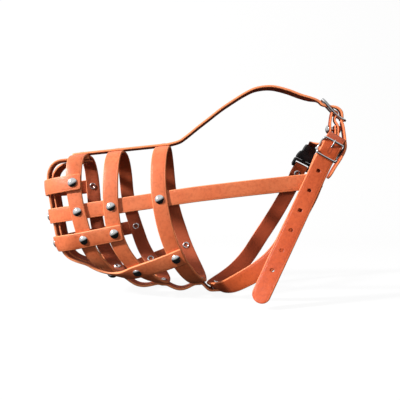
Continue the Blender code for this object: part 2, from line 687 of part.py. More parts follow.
def put(name, solid, kind=None, smooth=False, origin=BRIDGE_PAD):
    """One object from a solid, with its origin at the given point."""
    verts, faces = solid
    base = metres(origin)
    mesh = bpy.data.meshes.new(name)
    mesh.from_pydata([tuple(v) for v in metres(verts) - base], [],
                     [tuple(int(i) for i in face) for face in faces])
    mesh.update()
    face_outwards(mesh)
    if smooth:
        mesh.shade_smooth()
        mesh.set_sharp_from_angle(angle=np.radians(40))
    obj = bpy.data.objects.new(name, mesh)
    obj.location = tuple(base)
    if kind:
        mesh.materials.append(material(kind, name))
    bpy.context.scene.collection.objects.link(obj)
    return obj


def boolean(obj, solids, how="DIFFERENCE"):
    """Cuts from, or joins to, the object one or more closed shapes."""
    for i, solid in enumerate(solids):
        tool = put("%s tool %s%d" % (obj.name, how.lower(), i), solid)
        tool.hide_render = True
        tool.display_type = "WIRE"
        modifier = obj.modifiers.new("%s %d" % (how.lower(), i), "BOOLEAN")
        modifier.operation = how
        modifier.solver = "EXACT"
        modifier.object = tool


def cut_slot(obj, frame, along, out, half_w=SLOT_HALF):
    """A slot for a prong; along and out are its (low, high) limits."""
    boolean(obj, [block(frame, (along[0], -half_w, out[0]), (along[1], half_w, out[1]))])


# ---------------------------------------------------------------- rivets
POST_R, HOLE_SLACK, HEAD_R, RING_R = 1.5, 0.35, 4.3, 4.0
RING_AIR, HEAD_AIR = 0.55, 0.35      # from the leather to the ring and to the head
OUTSIDE = (0.0, LAYER + LEATHER)     # layers held where the second strap lies outside the hoop
INSIDE = (-LAYER, LEATHER)           # and where it lies inside it
holes = defaultdict(list)            # strap name: rods to be cut from it
rivets = []                          # name, point, solid


def rivet(name, point, axis, layers, straps):
    """A domed head outside, a post through every layer and a flared ring inside."""
    axis = unit(axis)
    low, high = layers
    ring, head = low - RING_AIR, high + HEAD_AIR
    profile = [(RING_R, ring - 1.0), (RING_R, ring), (POST_R, ring), (POST_R, head),
               (HEAD_R, head), (HEAD_R - 0.3, head + 0.8), (HEAD_R - 2.0, head + 1.7)]
    rivets.append((name, point, turned(point, axis, profile)))
    for strap in straps:
        holes[strap].append(rod(point, axis, POST_R + HOLE_SLACK, low - 2.0, high + 2.0))


def form_rivet(name, point, layers, straps):
    """A rivet square to the snout form."""
    rivet(name, point, outward(np.array([point]))[0], layers, straps)


def drill(obj):
    boolean(obj, [joined(holes[obj.name])])


def plan_side_rivets(side, word):
    """Rivets of one side: hoops to nose bands, hoops to chin strap, nose bands to chin strap."""
    for hoop, band, layers in (
            ("front", "upper", OUTSIDE), ("front", "middle", INSIDE), ("front", "lower", OUTSIDE),
            ("middle", "middle", INSIDE), ("middle", "lower", OUTSIDE),
            ("rear", "middle", INSIDE)):
        form_rivet("rivet_%s_%s_%s" % (hoop, band, word), cross_point(hoop, band, side),
                   layers, ["hoop_" + hoop, "nose_band_" + band])
    chin_strap = "chin_strap_" + word
    chin = chin_path(side, CHIN_SEARCH_STEP)
    for hoop in HOOPS:
        low = chin[chin[:, 2] < -45]
        if hoop == "rear":
            low = low[low[:, 0] > -10]
        miss = np.abs(low[:, 0] - hoop_x(hoop, low[:, 1], low[:, 2]))
        form_rivet("rivet_%s_chin_%s" % (hoop, word), low[int(np.argmin(miss))],
                   OUTSIDE, ["hoop_" + hoop, chin_strap])
    front = chin[(chin[:, 0] < -90) & (chin[:, 2] < 5)]
    for band in ("middle", "lower"):
        miss = np.abs(front[:, 2] - band_z(band, front[:, 0]))
        form_rivet("rivet_nose_%s_%s" % (band, word), front[int(np.argmin(miss))],
                   OUTSIDE, ["nose_band_" + band, chin_strap])


def plan_centre_rivets():
    """Rivets in the middle plane, on the roof and on the floor of the basket."""
    for name, hoop in HOOPS.items():
        straps, layers = ["hoop_" + name, "bridge_strap"], OUTSIDE
        if name == "front":    # both chin straps end under this one
            straps += ["chin_strap_near", "chin_strap_far"]
            layers = (-2 * LAYER, LAYER + LEATHER)
        form_rivet("rivet_%s_roof" % name, centre_line([hoop.x + 0.3], roof)[0], layers, straps)
    for name in ("middle", "rear"):
        hoop = HOOPS[name]
        point = centre_line([hoop.x + hoop.lean + hoop.sweep], floor_z)[0]
        form_rivet("rivet_%s_floor" % name, point, OUTSIDE, ["hoop_" + name, "floor_strap"])


def plan_harness_rivets():
    for side, word in SIDES:
        rivet("rivet_cheek_" + word, np.array([149.5, 52.6 * side, 18.3]), (0, side, 0),
              (-2.8, 2.9), ["cheek_strap_" + word, "throat_strap"])
    rivet("rivet_clasp_fold", CLASP(-8.3, 0, 0.4), CLASP.out, (-2.4, 2.9), ["throat_strap"])
    rivet("rivet_throat_floor", np.array([53.6, 0.0, -92.3]), np.cross(TILT, (0, -1, 0)),
          (-1.3, 1.5), ["throat_strap"])
    rivet("rivet_crown_loop", np.array([181.4, 0.0, 75.5]), (-1, 0, 0), (-4.9, 6.8),
          ["crown_loop"])


# ---------------------------------------------------------------- basket
def build_centre_strap(name, stations, surface, height):
    """A strap along the middle plane."""
    line = centre_line(stations, surface)
    line = line + outward(line) * [1, 0, 1] * (height(line) + LEATHER / 2)[:, None]
    across = np.tile([0.0, -1.0, 0.0], (len(line), 1))
    drill(put(name, ribbon(free_rows(line, across, STRAP_W)), "leather"))


def build_basket():
    for name in HOOPS:
        rows = form_rows(hoop_path(name), constant(0), loop=True)
        drill(put("hoop_" + name, ribbon(rows, loop=True), "leather"))
    for name in BANDS:
        height = middle_height if name == "middle" else constant(LAYER)
        rows = form_rows(band_path(name), height)
        drill(put("nose_band_" + name, ribbon(rows), "leather"))
    for side, word in SIDES:
        rows = form_rows(chin_path(side, CHIN_STEP), chin_height(side))
        drill(put("chin_strap_" + word, ribbon(rows), "leather"))
    build_centre_strap("bridge_strap", BRIDGE_X, roof, bridge_height)
    build_centre_strap("floor_strap", FLOOR_STRAP_X, floor_z, floor_height)


# ---------------------------------------------------------------- harness straps
def put_harness(name, rows, origin=SWING_AT):
    return put(name, ribbon(rows), "harness leather", origin=origin)


def build_cheek_straps():
    for side, word in SIDES:
        points = smooth_path(np.array(CHEEK) * [1, side, 1], CHEEK_STEP)
        across = np.tile(CHEEK_ACROSS, (len(points), 1))
        drill(put_harness("cheek_strap_" + word, free_rows(points, across, STRAP_W)))


def build_throat_strap():
    points, across, thick = throat_line()
    width = np.full(len(points), COLLAR_W)
    width[-len(CLASP_TRIM):] -= CLASP_TRIM
    strap = put_harness("throat_strap", free_rows(points, across, width, thick))
    drill(strap)
    cut_slot(strap, NECK.frame, along=(-6.0, 4.6), out=(-5.0, 5.0))


def build_nape_straps():
    near = put_harness("nape_strap_near", free_rows(*nape_near_line(), COLLAR_W))
    cut_slot(near, NECK.frame, along=(-7.6, 1.4), out=(1.0, 9.0), half_w=1.5)
    put_harness("nape_strap_far", free_rows(*nape_far_line(), FOLD_T), origin=BRIDGE_PAD)


def build_neck_tail():
    """The straight tail of the neck strap, with its row of holes."""
    points, across = neck_tail_line()
    start = points[0]
    tail = put_harness("neck_strap_tail", free_rows(points, across, COLLAR_W), origin=start)
    run = unit(points[-1] - start)
    out = np.cross(across[3], run)
    boolean(tail, [joined([rod(start + run * (HOLE_START + HOLE_PITCH * k), out, HOLE_R, -4, 4)
                           for k in range(HOLE_COUNT)])])


def build_crown_straps():
    crown = put_harness("crown_strap", free_rows(*crown_line(), STRAP_W))
    cut_slot(crown, CROWN.frame, along=(-13.0, -1.0), out=(0.0, 11.0))
    points, across = crown_tail_line()
    put_harness("crown_strap_tail", free_rows(points, across, STRAP_W), origin=points[0])


def build_crown_loop():
    loop = put_harness("crown_loop", free_rows(*loop_line(), LOOP_W, LOOP_T))
    drill(loop)
    cut_slot(loop, CROWN.frame, along=(-6.0, 6.0), out=(-6.5, 5.6))


# ---------------------------------------------------------------- metal and plastic
def build_buckle(word, buckle):
    pivot, half = buckle.frame.origin, buckle.half_w
    frame = put(word + "_buckle_frame", tube(buckle_loop(buckle), BAR_R, loop=True),
                "nickel", smooth=True, origin=pivot)
    boolean(frame, [rod(pivot, buckle.frame.across, BAR_R * 0.93, -half, half)], "UNION")
    put(word + "_buckle_prong", tube(prong_line(buckle), PRONG_R), "nickel", smooth=True,
        origin=pivot)


def put_clasp(name, outline, half_t, origin):
    return put(name, plate(CLASP, outline, half_t), "black plastic", smooth=True, origin=origin)


def build_plug():
    """The plug: a body opened round its bar, with a middle tongue."""
    plug = put_clasp("clasp_plug", mirrored(PLUG_SIDE), PLUG_HALF_T, CLASP.origin)
    inside = CLASP_HALF - PLUG_RAIL
    boolean(plug, [block(CLASP, (1.6, -inside, -6), (5.2, inside, 6)),        # window
                   block(CLASP, (-4, -inside, 1.2), (2.2, inside, 6)),        # outside the bar
                   block(CLASP, (-4, -inside, -6), (2.2, inside, -0.9))])     # inside the bar
    boolean(plug, [plate(CLASP, mirrored(TONGUE_SIDE), 1.4)], "UNION")


def build_arms():
    """The springy arms: a stem with a button that bulges out through the socket's side."""
    for side, word in ((-1, "front"), (1, "rear")):
        outline = [(along, side * across) for along, across in ARM_OUTLINE]
        put_clasp("clasp_arm_" + word, outline, ARM_HALF_T,
                  CLASP(ARM_ROOT, side * ARM_MIDDLE, 0))


def build_socket():
    socket = put_clasp("clasp_socket", mirrored(SOCKET_SIDE), SOCKET_HALF_T,
                       CLASP(SOCKET_START, 0, 0))
    reach = CLASP_HALF + 3
    boolean(socket, [
        plate(CLASP, mirrored(CAVITY_SIDE), 2.6),
        # openings for the arms' buttons
        block(CLASP, (SOCKET_START - 2, -reach, -1.9), (SOCKET_START + 7.9, reach, 1.9)),
        # slot for the nape strap's end
        block(CLASP, (SOCKET_END - 3.4, -5.3, -1.0), (SOCKET_END + 2, 5.3, 2.2))])


# ---------------------------------------------------------------- the whole muzzle
for old in list(bpy.data.objects):
    bpy.data.objects.remove(old, do_unlink=True)

for side_sign, side_word in SIDES:
    plan_side_rivets(side_sign, side_word)
plan_centre_rivets()
plan_harness_rivets()

build_basket()
build_cheek_straps()
build_throat_strap()
build_nape_straps()
build_neck_tail()
build_crown_straps()
build_crown_loop()
build_buckle("neck", NECK)
build_buckle("crown", CROWN)
build_plug()
build_arms()
build_socket()
for rivet_name, rivet_point, rivet_solid in rivets:
    put(rivet_name, rivet_solid, "nickel", smooth=True, origin=rivet_point)
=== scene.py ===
"""Basket muzzle for a dog: leather straps, rivets, two buckles and a side-release clasp.

Lengths are in millimetres in the frame of the snout: +X towards the neck, +Z up, -Y the near side
and +Y the far side. They are turned into metres, from the middle of the bridge pad, when a mesh
is made. A strap is a line of centre points with the direction of its width at each.
"""
from types import SimpleNamespace

import bmesh
import bpy
import numpy as np
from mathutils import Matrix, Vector


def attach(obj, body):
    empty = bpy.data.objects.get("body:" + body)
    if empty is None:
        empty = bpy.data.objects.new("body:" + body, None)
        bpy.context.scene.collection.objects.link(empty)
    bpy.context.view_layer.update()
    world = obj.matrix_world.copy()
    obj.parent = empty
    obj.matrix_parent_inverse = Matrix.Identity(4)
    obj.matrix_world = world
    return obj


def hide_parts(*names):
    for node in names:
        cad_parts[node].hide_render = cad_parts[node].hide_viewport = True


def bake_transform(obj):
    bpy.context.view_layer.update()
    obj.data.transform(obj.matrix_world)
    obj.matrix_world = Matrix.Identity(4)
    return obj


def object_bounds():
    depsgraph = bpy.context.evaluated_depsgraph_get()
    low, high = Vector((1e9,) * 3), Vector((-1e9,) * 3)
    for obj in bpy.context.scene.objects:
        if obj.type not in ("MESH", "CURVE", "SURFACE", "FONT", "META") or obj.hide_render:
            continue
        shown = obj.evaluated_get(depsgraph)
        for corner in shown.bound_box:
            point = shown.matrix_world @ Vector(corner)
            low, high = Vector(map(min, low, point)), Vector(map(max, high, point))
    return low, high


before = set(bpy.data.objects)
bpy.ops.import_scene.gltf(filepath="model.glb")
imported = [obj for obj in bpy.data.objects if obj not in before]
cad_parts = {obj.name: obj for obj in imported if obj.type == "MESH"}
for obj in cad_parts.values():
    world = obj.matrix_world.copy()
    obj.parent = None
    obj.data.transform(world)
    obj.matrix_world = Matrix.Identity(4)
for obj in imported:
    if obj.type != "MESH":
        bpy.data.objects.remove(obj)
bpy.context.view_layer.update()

# ---------------------------------------------------------------- driving dimensions
STRAP_W = 15.0            # width of every basket, cheek and crown strap
COLLAR_W = 17.5           # width of the wider neck strap
LEATHER = 2.4             # leather thickness
GAP = 0.3                 # air between two layers of leather
LAYER = LEATHER + GAP     # pitch of the stacked layers
FORM_T = LEATHER + 0.15   # thickness of the straps that lie on the form
LONG_T = LEATHER + 0.1    # thickness of the two long straps that run on into the harness
FOLD_T = 1.3              # leather skived thinner where it folds round a bar
EDGE_R = 0.75             # rounding of the leather's edges
BULGE = 0.16              # rise of the outer face along its middle
BRIDGE_PAD = (-25.73, 0.0, 54.01)   # middle of the pad that rests on the bridge of the nose

# the form of the snout
TOP_Z, TOP_RISE = 54.5, 0.105      # roof line of the basket, rising towards the eyes
FLOOR_Z, FLOOR_X, FLOOR_RISE, FLOOR_LEN = -86.0, 15.0, 23.0, 80.0   # floor line, rising to the chin
HALF_W, HALF_W_RISE = 45.5, 0.05   # half width, growing rearwards
NOSE_X, NOSE_LEAN, NOSE_Z = -119.5, 0.17, 11.0
NOSE_LEN = 48.0                    # length over which the nose rounds off
EXP_SIDE, EXP_ROOF, EXP_NOSE = 2.6, 2.6, 2.4
SNUB_X, SNUB_LEN, SNUB_PLAN, SNUB_ROOF = -76.0, 25.0, 0.7, 1.9   # the nose is squarer
HOOP_MID_Z = -14.0                 # height from which the rays to a hoop start
NOSE_MID_X = -80.0                 # x from which the rays to a band start, round the nose

# hoop: x at the roof, lean, sweep at the floor, sharpness of the sweep
HOOPS = {"front": (-88.0, 8.0, 29.0, 6.0),
         "middle": (-50.0, 3.0, 45.0, 4.8),
         "rear": (-1.0, 8.0, 30.0, 3.5)}
# how far each half of a hoop hangs rearwards: near side high and low, far side high and low
SKEW = {"front": (0.5, 6.5, -1.4, -0.4),
        "middle": (-0.3, -0.3, 1.0, 8.5),
        "rear": (-4.6, -4.0, 0.0, 3.9)}
# band: x and z of a point of it, and its slope
BANDS = {"upper": (-87.0, 16.1, 0.127),
         "middle": (-1.0, 0.4, 0.150),
         "lower": (-44.0, -32.0, 0.190)}
# far chin strap: from behind the rear hoop, under the chin, up the nose and onto the roof
CHIN_GUIDE = np.array([
    (22, 45, -53), (13, 44, -57), (-6, 40, -64.5), (-25.5, 33, -71), (-42, 21, -77),
    (-57, 12.5, -75), (-75, 9.6, -70), (-90, 9.4, -65), (-102, 9.4, -56), (-107, 9.4, -45),
    (-112, 9.4, -20), (-118, 9.4, 10), (-117, 9.2, 28), (-109, 8.0, 38), (-95, 4.4, 44),
    (-80.5, 1.2, 46)])
NOSE_SWELL = 3.4          # bow of the chin straps where they turn over the nose
SIDES = ((-1, "near"), (1, "far"))


# ---------------------------------------------------------------- vectors and curves
def unit(vectors):
    vectors = np.asarray(vectors, float)
    return vectors / np.maximum(1e-12, np.linalg.norm(vectors, axis=-1, keepdims=True))


def ease(value):
    """Smooth step from 0 to 1."""
    value = np.clip(value, 0.0, 1.0)
    return value * value * (3 - 2 * value)


def along(path):
    """Distance of each point along a path."""
    gaps = np.linalg.norm(np.diff(path, axis=0), axis=1)
    return np.concatenate([[0], np.cumsum(gaps)])


def at_run(values, run, where):
    """Values given at the distances run, read off at the distances where."""
    values = np.asarray(values, float)
    if values.ndim == 1:
        return np.interp(where, run, values)
    return np.stack([np.interp(where, run, column) for column in values.T], 1)


def even(path, step):
    """The path resampled at an even step."""
    run = along(path)
    count = max(1, int(round(run[-1] / step)))
    return at_run(path, run, np.linspace(0, run[-1], count + 1))


def soften(values, rounds, loop=False):
    values = np.array(values, float)
    for _ in range(rounds):
        if loop:
            beside = np.roll(values, 1, 0) + np.roll(values, -1, 0)
            values = 0.5 * values + 0.25 * beside
        else:
            inner = 0.5 * values[1:-1] + 0.25 * (values[:-2] + values[2:])
            values = np.concatenate([values[:1], inner, values[-1:]])
    return values


def uniform_piece(before, start, end, after, count):
    """Catmull-Rom curve from start towards end."""
    t = np.linspace(0, 1, count, endpoint=False)[:, None]
    return 0.5 * (2 * start + (end - before) * t
                  + (2 * before - 5 * start + 4 * end - after) * t ** 2
                  + (3 * start - before - 3 * end + after) * t ** 3)


def centripetal_piece(before, start, end, after, count):
    """As uniform_piece, but stays tight where the points are unevenly spaced."""
    corners = (before, start, end, after)
    gaps = [max(1e-6, np.linalg.norm(corners[i + 1][:3] - corners[i][:3])) ** 0.5
            for i in range(3)]
    knots = np.concatenate([[0.0], np.cumsum(gaps)])
    where = knots[1] + (knots[2] - knots[1]) * np.linspace(0, 1, count, endpoint=False)
    where = where[:, None]

    def between(left, right, first, last):
        span = knots[last] - knots[first]
        return (knots[last] - where) / span * left + (where - knots[first]) / span * right

    one, two, three = (between(corners[i], corners[i + 1], i, i + 1) for i in range(3))
    return between(between(one, two, 0, 2), between(two, three, 1, 3), 1, 2)


def curve_through(points, piece, count):
    p = np.array(points, float)
    padded = np.vstack([2 * p[0] - p[1], p, 2 * p[-1] - p[-2]])
    pieces = [piece(*padded[i - 1:i + 3], count) for i in range(1, len(padded) - 2)]
    return np.vstack(pieces + [p[-1:]])


def smooth_path(points, step):
    return even(curve_through(points, uniform_piece, 24), step)


def round_loop(points):
    """A closed smooth curve through the corners."""
    p = np.asarray(points, float)
    count = len(p)
    pieces = [uniform_piece(p[i - 1], p[i], p[(i + 1) % count], p[(i + 2) % count], 7)
              for i in range(count)]
    return soften(np.vstack(pieces), 3, loop=True)


def repeated(*runs):
    """Rows of vectors, from pairs of a vector and its count."""
    return np.vstack([np.tile(np.asarray(vector, float), (count, 1)) for vector, count in runs])


# ---------------------------------------------------------------- the form of the snout
def roof(x):
    return TOP_Z + TOP_RISE * x


def floor_z(x):
    return FLOOR_Z + FLOOR_RISE * (1 - np.exp(-((x - FLOOR_X) / FLOOR_LEN) ** 2))


def snout(p):
    """Negative inside the snout form, zero on it; p is (..., 3)."""
    x, y, z = p[..., 0], p[..., 1], p[..., 2]
    top, bottom = roof(x), floor_z(x)
    mid, high = 0.5 * (top + bottom), 0.5 * (top - bottom)
    wide = HALF_W + HALF_W_RISE * x
    tip = NOSE_X - NOSE_LEAN * (z - NOSE_Z)
    nose = np.maximum(0.0, (tip + NOSE_LEN - x) / NOSE_LEN)
    snub = ease((SNUB_X - x) / SNUB_LEN)
    plan = np.abs(y / wide) ** EXP_SIDE + nose ** EXP_NOSE
    profile = np.abs((z - mid) / high) ** (EXP_ROOF + SNUB_ROOF * snub)
    return plan ** (1 + SNUB_PLAN * snub) + profile - 1.0


def slope(p, delta=0.05):
    gradient = np.zeros(p.shape)
    for k in range(3):
        step = np.zeros(3)
        step[k] = delta
        gradient[..., k] = (snout(p + step) - snout(p - step)) / (2 * delta)
    return gradient


def outward(p):
    return unit(slope(p))


def onto_snout(p, rounds=12):
    """Moves points along the slope onto the snout form, at most 4 mm a round."""
    p = np.array(p, float)
    for _ in range(rounds):
        gradient = slope(p)
        scale = snout(p) / np.maximum(1e-9, (gradient * gradient).sum(-1))
        move = gradient * scale[..., None]
        far = np.linalg.norm(move, axis=-1, keepdims=True)
        p = p - move * np.minimum(1.0, 4.0 / np.maximum(far, 1e-9))
    return p


def on_middle(x, z):
    """The point of the form in its middle plane nearest to x and z."""
    return onto_snout(np.stack([x, 0 * x, z], -1)) * [1, 0, 1]


def ray_hit(count, toward, reach=170.0):
    """Where rays that start inside the form leave it; toward gives their points at a distance."""
    low, high = np.zeros(count), np.full(count, reach)
    for _ in range(40):
        mid = 0.5 * (low + high)
        inside = snout(toward(mid)) < 0
        low, high = np.where(inside, mid, low), np.where(inside, high, mid)
    return toward(0.5 * (low + high))


def hoop_x(name, y, z):
    """The hoop's plane, bent rearwards at the floor, with each half hanging differently."""
    top_x, lean, sweep, sharpness = HOOPS[name]
    near_high, near_low, far_high, far_low = SKEW[name]
    depth = roof(top_x) - floor_z(top_x + lean + sweep)
    drop = np.clip((roof(top_x) - z) / depth, 0.0, 1.15)
    low = ease((drop - 0.25) / 0.45)
    side = np.clip(y / HALF_W, -1.0, 1.0)
    hang = np.where(side < 0, near_high + (near_low - near_high) * low,
                    far_high + (far_low - far_high) * low)
    hang = hang * side ** 2 * (1.5 - 0.5 * np.abs(side))
    return top_x + lean * drop + sweep * drop ** sharpness + hang


def band_z(name, x):
    start_x, z, rise = BANDS[name]
    return z + rise * (x - start_x)


def side_point(x, z, side):
    """The point of the form at x and z on one side (-1 is near, +1 is far)."""
    return ray_hit(1, lambda r: np.stack([np.full_like(r, x), side * r, np.full_like(r, z)], -1))[0]


def cross_point(hoop, band, side):
    """Where a band crosses a hoop."""
    x = HOOPS[hoop][0]
    for _ in range(30):
        z = band_z(band, x)
        x = float(hoop_x(hoop, side_point(x, z, side)[1], z))
    return side_point(x, z, side)


# ---------------------------------------------------------------- paths and layers on the form
def hoop_path(name):
    """A full turn round the snout, starting at the floor."""
    turn = np.linspace(-np.pi, np.pi, 361)

    def toward(r):
        y, z = -r * np.sin(turn), HOOP_MID_Z + r * np.cos(turn)
        return np.stack([hoop_x(name, y, z), y, z], -1)
    return even(ray_hit(len(turn), toward), 1.0)


def band_path(name, end_x, step, far_cut=0.0):
    """From end_x on the near side round the nose to the far side, ending far_cut sooner there."""
    turn = np.linspace(-np.pi / 2, np.pi / 2, 181)

    def toward(r):
        x = NOSE_MID_X - r * np.cos(turn)
        return np.stack([x, r * np.sin(turn), band_z(name, x)], -1)
    front = ray_hit(len(turn), toward)
    near = np.array([side_point(x, band_z(name, x), -1)
                     for x in np.arange(end_x, NOSE_MID_X, -2.0)])
    line = np.vstack([near, front, (near * [1, -1, 1])[::-1]])
    line = line[(line[:, 1] < 0) | (line[:, 0] <= end_x - far_cut)]
    return even(line, step)


def chin_path(side, step):
    return even(onto_snout(smooth_path(CHIN_GUIDE * [1, side, 1], 2.0)), step)


def chin_height(side):
    """Layer of a chin strap: outside the hoops below, under the nose bands in front, and under
    the front hoop on the roof, where the far strap lies under the near one."""
    def height(p):
        x, z = p[:, 0], p[:, 2]
        sinking = LAYER * np.clip(1 + (x + 66) / 26.0, 0, 1)
        lift = np.where((x < -58) & (z < 0), sinking, LAYER)
        lift = np.where((x < -90) & (z > -56), 0.0, lift)
        under = LAYER * (1.0 if side < 0 else 2.0)
        swell = NOSE_SWELL * np.exp(-((x + 114) / 10) ** 2 - ((z - 37) / 10) ** 2)
        return np.where(z > 0, -under * ease((z - 24.0) / 14.0), lift) + swell
    return height


def middle_height(p):
    """The middle band lies inside the hoops, and outside the chin straps at the nose."""
    inward = ease((np.abs(p[:, 1]) - 20.0) / 14.0)
    return np.where(p[:, 0] < -84, LAYER * (1 - 2 * inward), -LAYER)


def floor_height(p):
    """The floor strap bows ahead of the middle hoop's floor and between the two hoops."""
    behind = np.clip((p[:, 0] - 2.5) / 29.0, 0, 1)
    ahead = np.clip((p[:, 0] + 43.0) / 37.0, 0, 1)
    return LAYER + 4.4 * np.sin(np.pi * behind) ** 1.3 + 5.6 * np.sin(np.pi * ahead) ** 1.3


def constant(height):
    return lambda p: np.full(len(p), float(height))


def lifted_middle(x, z, height):
    """Centre line of a strap in the middle plane, at a height above the form."""
    line = on_middle(x, z)
    return line + outward(line) * [1, 0, 1] * (height(line)[:, None] + LEATHER / 2)


# ---------------------------------------------------------------- buckles and clasp: places
class Fitting:
    """A local frame: lengths along, across and out of a fitting."""
    def __init__(self, origin, along_axis, out_axis):
        self.origin = np.array(origin)
        self.along = unit(along_axis)
        self.out = unit(out_axis - self.along * np.dot(out_axis, self.along))
        self.across = unit(np.cross(self.out, self.along))

    def at(self, forth, aside, out):
        return self.origin + forth * self.along + aside * self.across + out * self.out

    def middle(self, points):
        """Points from pairs of (along, out), halfway across."""
        return [self.at(forth, 0, out) for forth, out in points]


# origins: the pivot bars of the buckles, and the middle of the plug's bar
NECK = Fitting((156.6, -56.5, 44.3), (-0.48, 0.0, -0.877), (0.0, -1.0, 0.0))
CROWN = Fitting((181.2, 0.0, 92.2), (0.727, 0.0, -0.687), (0.66, -0.25, 0.70))
CLASP = Fitting((157.0, 50.5, 39.0), (0.444, -0.143, 0.885), (0.0, 1.0, 0.10))

BAR_R, PRONG_R = 1.1, 0.85
BAR_CLEAR = BAR_R + 0.35 + LEATHER / 2     # from a bar's axis to the middle of a strap beside it
# half width, distances from the pivot to the front and rear bars, and their lifts
NECK_SIZE = SimpleNamespace(half=10.0, front=11.0, rear=5.6, lift_f=4.9, lift_r=5.4)
CROWN_SIZE = SimpleNamespace(half=10.6, front=19.2, rear=12.4, lift_f=1.2, lift_r=1.6)
PLUG_H, CLASP_HALF, CLASP_T, SOCKET_H = 8.4, 11.4, 8.6, 18.5
SOCKET_LOW = PLUG_H + 0.5
SOCKET_TOP = SOCKET_LOW + SOCKET_H
ARM_ROOT = PLUG_H + 0.4

# ---------------------------------------------------------------- lines of the harness
# far cheek strap: x, y, z, from behind the rear hoop rearwards
CHEEK = np.array([(30, 46.0, 5.0), (60, 49.0, 8.6), (90, 50.6, 12.0), (120, 50.6, 15.2),
                  (146, 50.6, 18.0), (153.5, 50.6, 18.8)])
CHEEK_ACROSS = (-0.13, 0, 1)
TILT = np.array([0.88, 0.0, -0.47])        # the throat strap's width lies this way at the sides
# throat strap, down the near side and up the far side: x, y, z, turn of its width to the near side
THROAT = np.array([
    (140.5, -54.2, 6, 0), (129.6, -54.2, -14.6, 0.03), (123, -53.6, -28.4, 0.12),
    (115.5, -52.2, -44.0, 0.28), (105, -49.5, -57.5, 0.34), (92, -45, -69.0, 0.3),
    (78, -37.5, -79.0, 0.2), (66.5, -26.5, -87.0, 0.10), (57, -13, -91.2, 0.04),
    (52.6, 0, -92.2, 0), (56.5, 13, -91.6, 0), (65.5, 27, -88.8, 0), (78.5, 39.5, -81.5, 0),
    (94, 48.5, -66.5, 0), (111, 53.0, -42, 0), (127.5, 54.2, -17, 0), (142, 54.2, 8, 0),
    (150.5, 54.0, 24, 0)])
# folds of the throat strap round the neck buckle's pivot and the clasp's bar: along, out
NECK_FOLD_R = BAR_R + 0.25 + FOLD_T / 2
NECK_FOLD = [
    (11.5, 0.45), (6.0, 0.55), (2.6, NECK_FOLD_R - 0.35), (0.0, NECK_FOLD_R),
    (-NECK_FOLD_R * 0.72, NECK_FOLD_R * 0.72), (-NECK_FOLD_R, 0.0),
    (-NECK_FOLD_R * 0.72, -NECK_FOLD_R * 0.72), (0.0, -NECK_FOLD_R - 0.1), (4.0, -2.35),
    (9.5, -2.1)]
CLASP_FOLD = [(-9.0, 1.9), (-4.5, 2.5), (0.2, 2.75), (2.6, 2.1), (3.3, 0.0), (2.4, -2.0),
              (0.0, -2.45), (-4.5, -1.35), (-12.0, -1.05)]
# how much narrower the throat strap is at its last points, where it folds through the clasp
THROAT_TRIM = [0.4, 0.9, 1.7] + [2.1] * 8
# near half of the nape strap: x, y, z and the direction of its width
NAPE_NEAR = np.array([
    (179.35, 1.0, 56.0, 0, 0, -1), (179.1, -9.0, 56.3, 0.05, 0, -1),
    (176.8, -24.0, 58.6, 0.5, 0, -0.87), (172.8, -38.0, 60.6, 0.75, -0.1, -0.66),
    (168.4, -49.0, 60.2, 0.86, -0.1, -0.5)])
NECK_TAIL_END = np.array([90.3, -64.5, -94.2])
NECK_TAIL_TWIST = unit([0.82, -0.44, -0.37])     # direction of its width at the free end
FIRST_HOLE, HOLE_PITCH, HOLE_COUNT, HOLE_R = 8.8, 20.3, 6, 1.6
# far half of the nape strap, before it enters the socket: columns as above
NAPE_FAR = np.array([
    (179.3, 0.6, 56.0, 0, 0, -1), (179.3, 10.8, 56.0, 0, 0, -1), (179.1, 15.0, 56.2, 0, 0, -1),
    (178.4, 22.0, 57.4, 0.3, 0, -0.95), (177.0, 29.5, 59.2, 0.6, 0, -0.8)])
NAPE_FAR_W = np.array([1.0, 1.0, 1.0, 1.0, 0.95, 0.75, 0.62, 0.58]) * (COLLAR_W - 1.5)
# crown strap over the forehead, and its hanging tail: x, z
CROWN_CENTRE = [
    (15.8, 62.4), (22, 66.6), (35.4, 77.4), (46.6, 86.1), (59.6, 96.3), (73.0, 105.4),
    (86.0, 113.4), (97.0, 118.3), (113.1, 120.1), (129.6, 116.6), (145, 111.0), (155, 108.1)]
CROWN_TAIL = [(189.3, 80.9), (190.2, 73.0), (190.6, 62.0), (189.6, 53.0), (184.7, 43.4),
              (177.8, 33.5), (171.2, 23.0)]
# folded loop: behind the crown buckle, then in front of it and round the nape strap: x, z
LOOP_W, LOOP_T = 12.0, 2.0
LOOP_BEHIND = [(185.0, 66.5), (185.0, 73.0), (184.7, 79.0)]
LOOP_AHEAD = [(176.6, 83.0), (176.2, 74.0), (176.1, 62.0), (176.2, 50.0), (176.5, 45.0),
              (179.3, 42.2), (182.3, 45.0), (182.6, 56.0), (181.8, 68.0), (181.4, 79.5)]
THROAT_RIVET = (53.6, 0.0, -92.3)   # joins the floor strap's end to the throat strap


def in_middle(points):
    return [(x, 0.0, z) for x, z in points]


# ---------------------------------------------------------------- meshes
def metres(v):
    return (np.asarray(v, float) - BRIDGE_PAD) / 1000.0


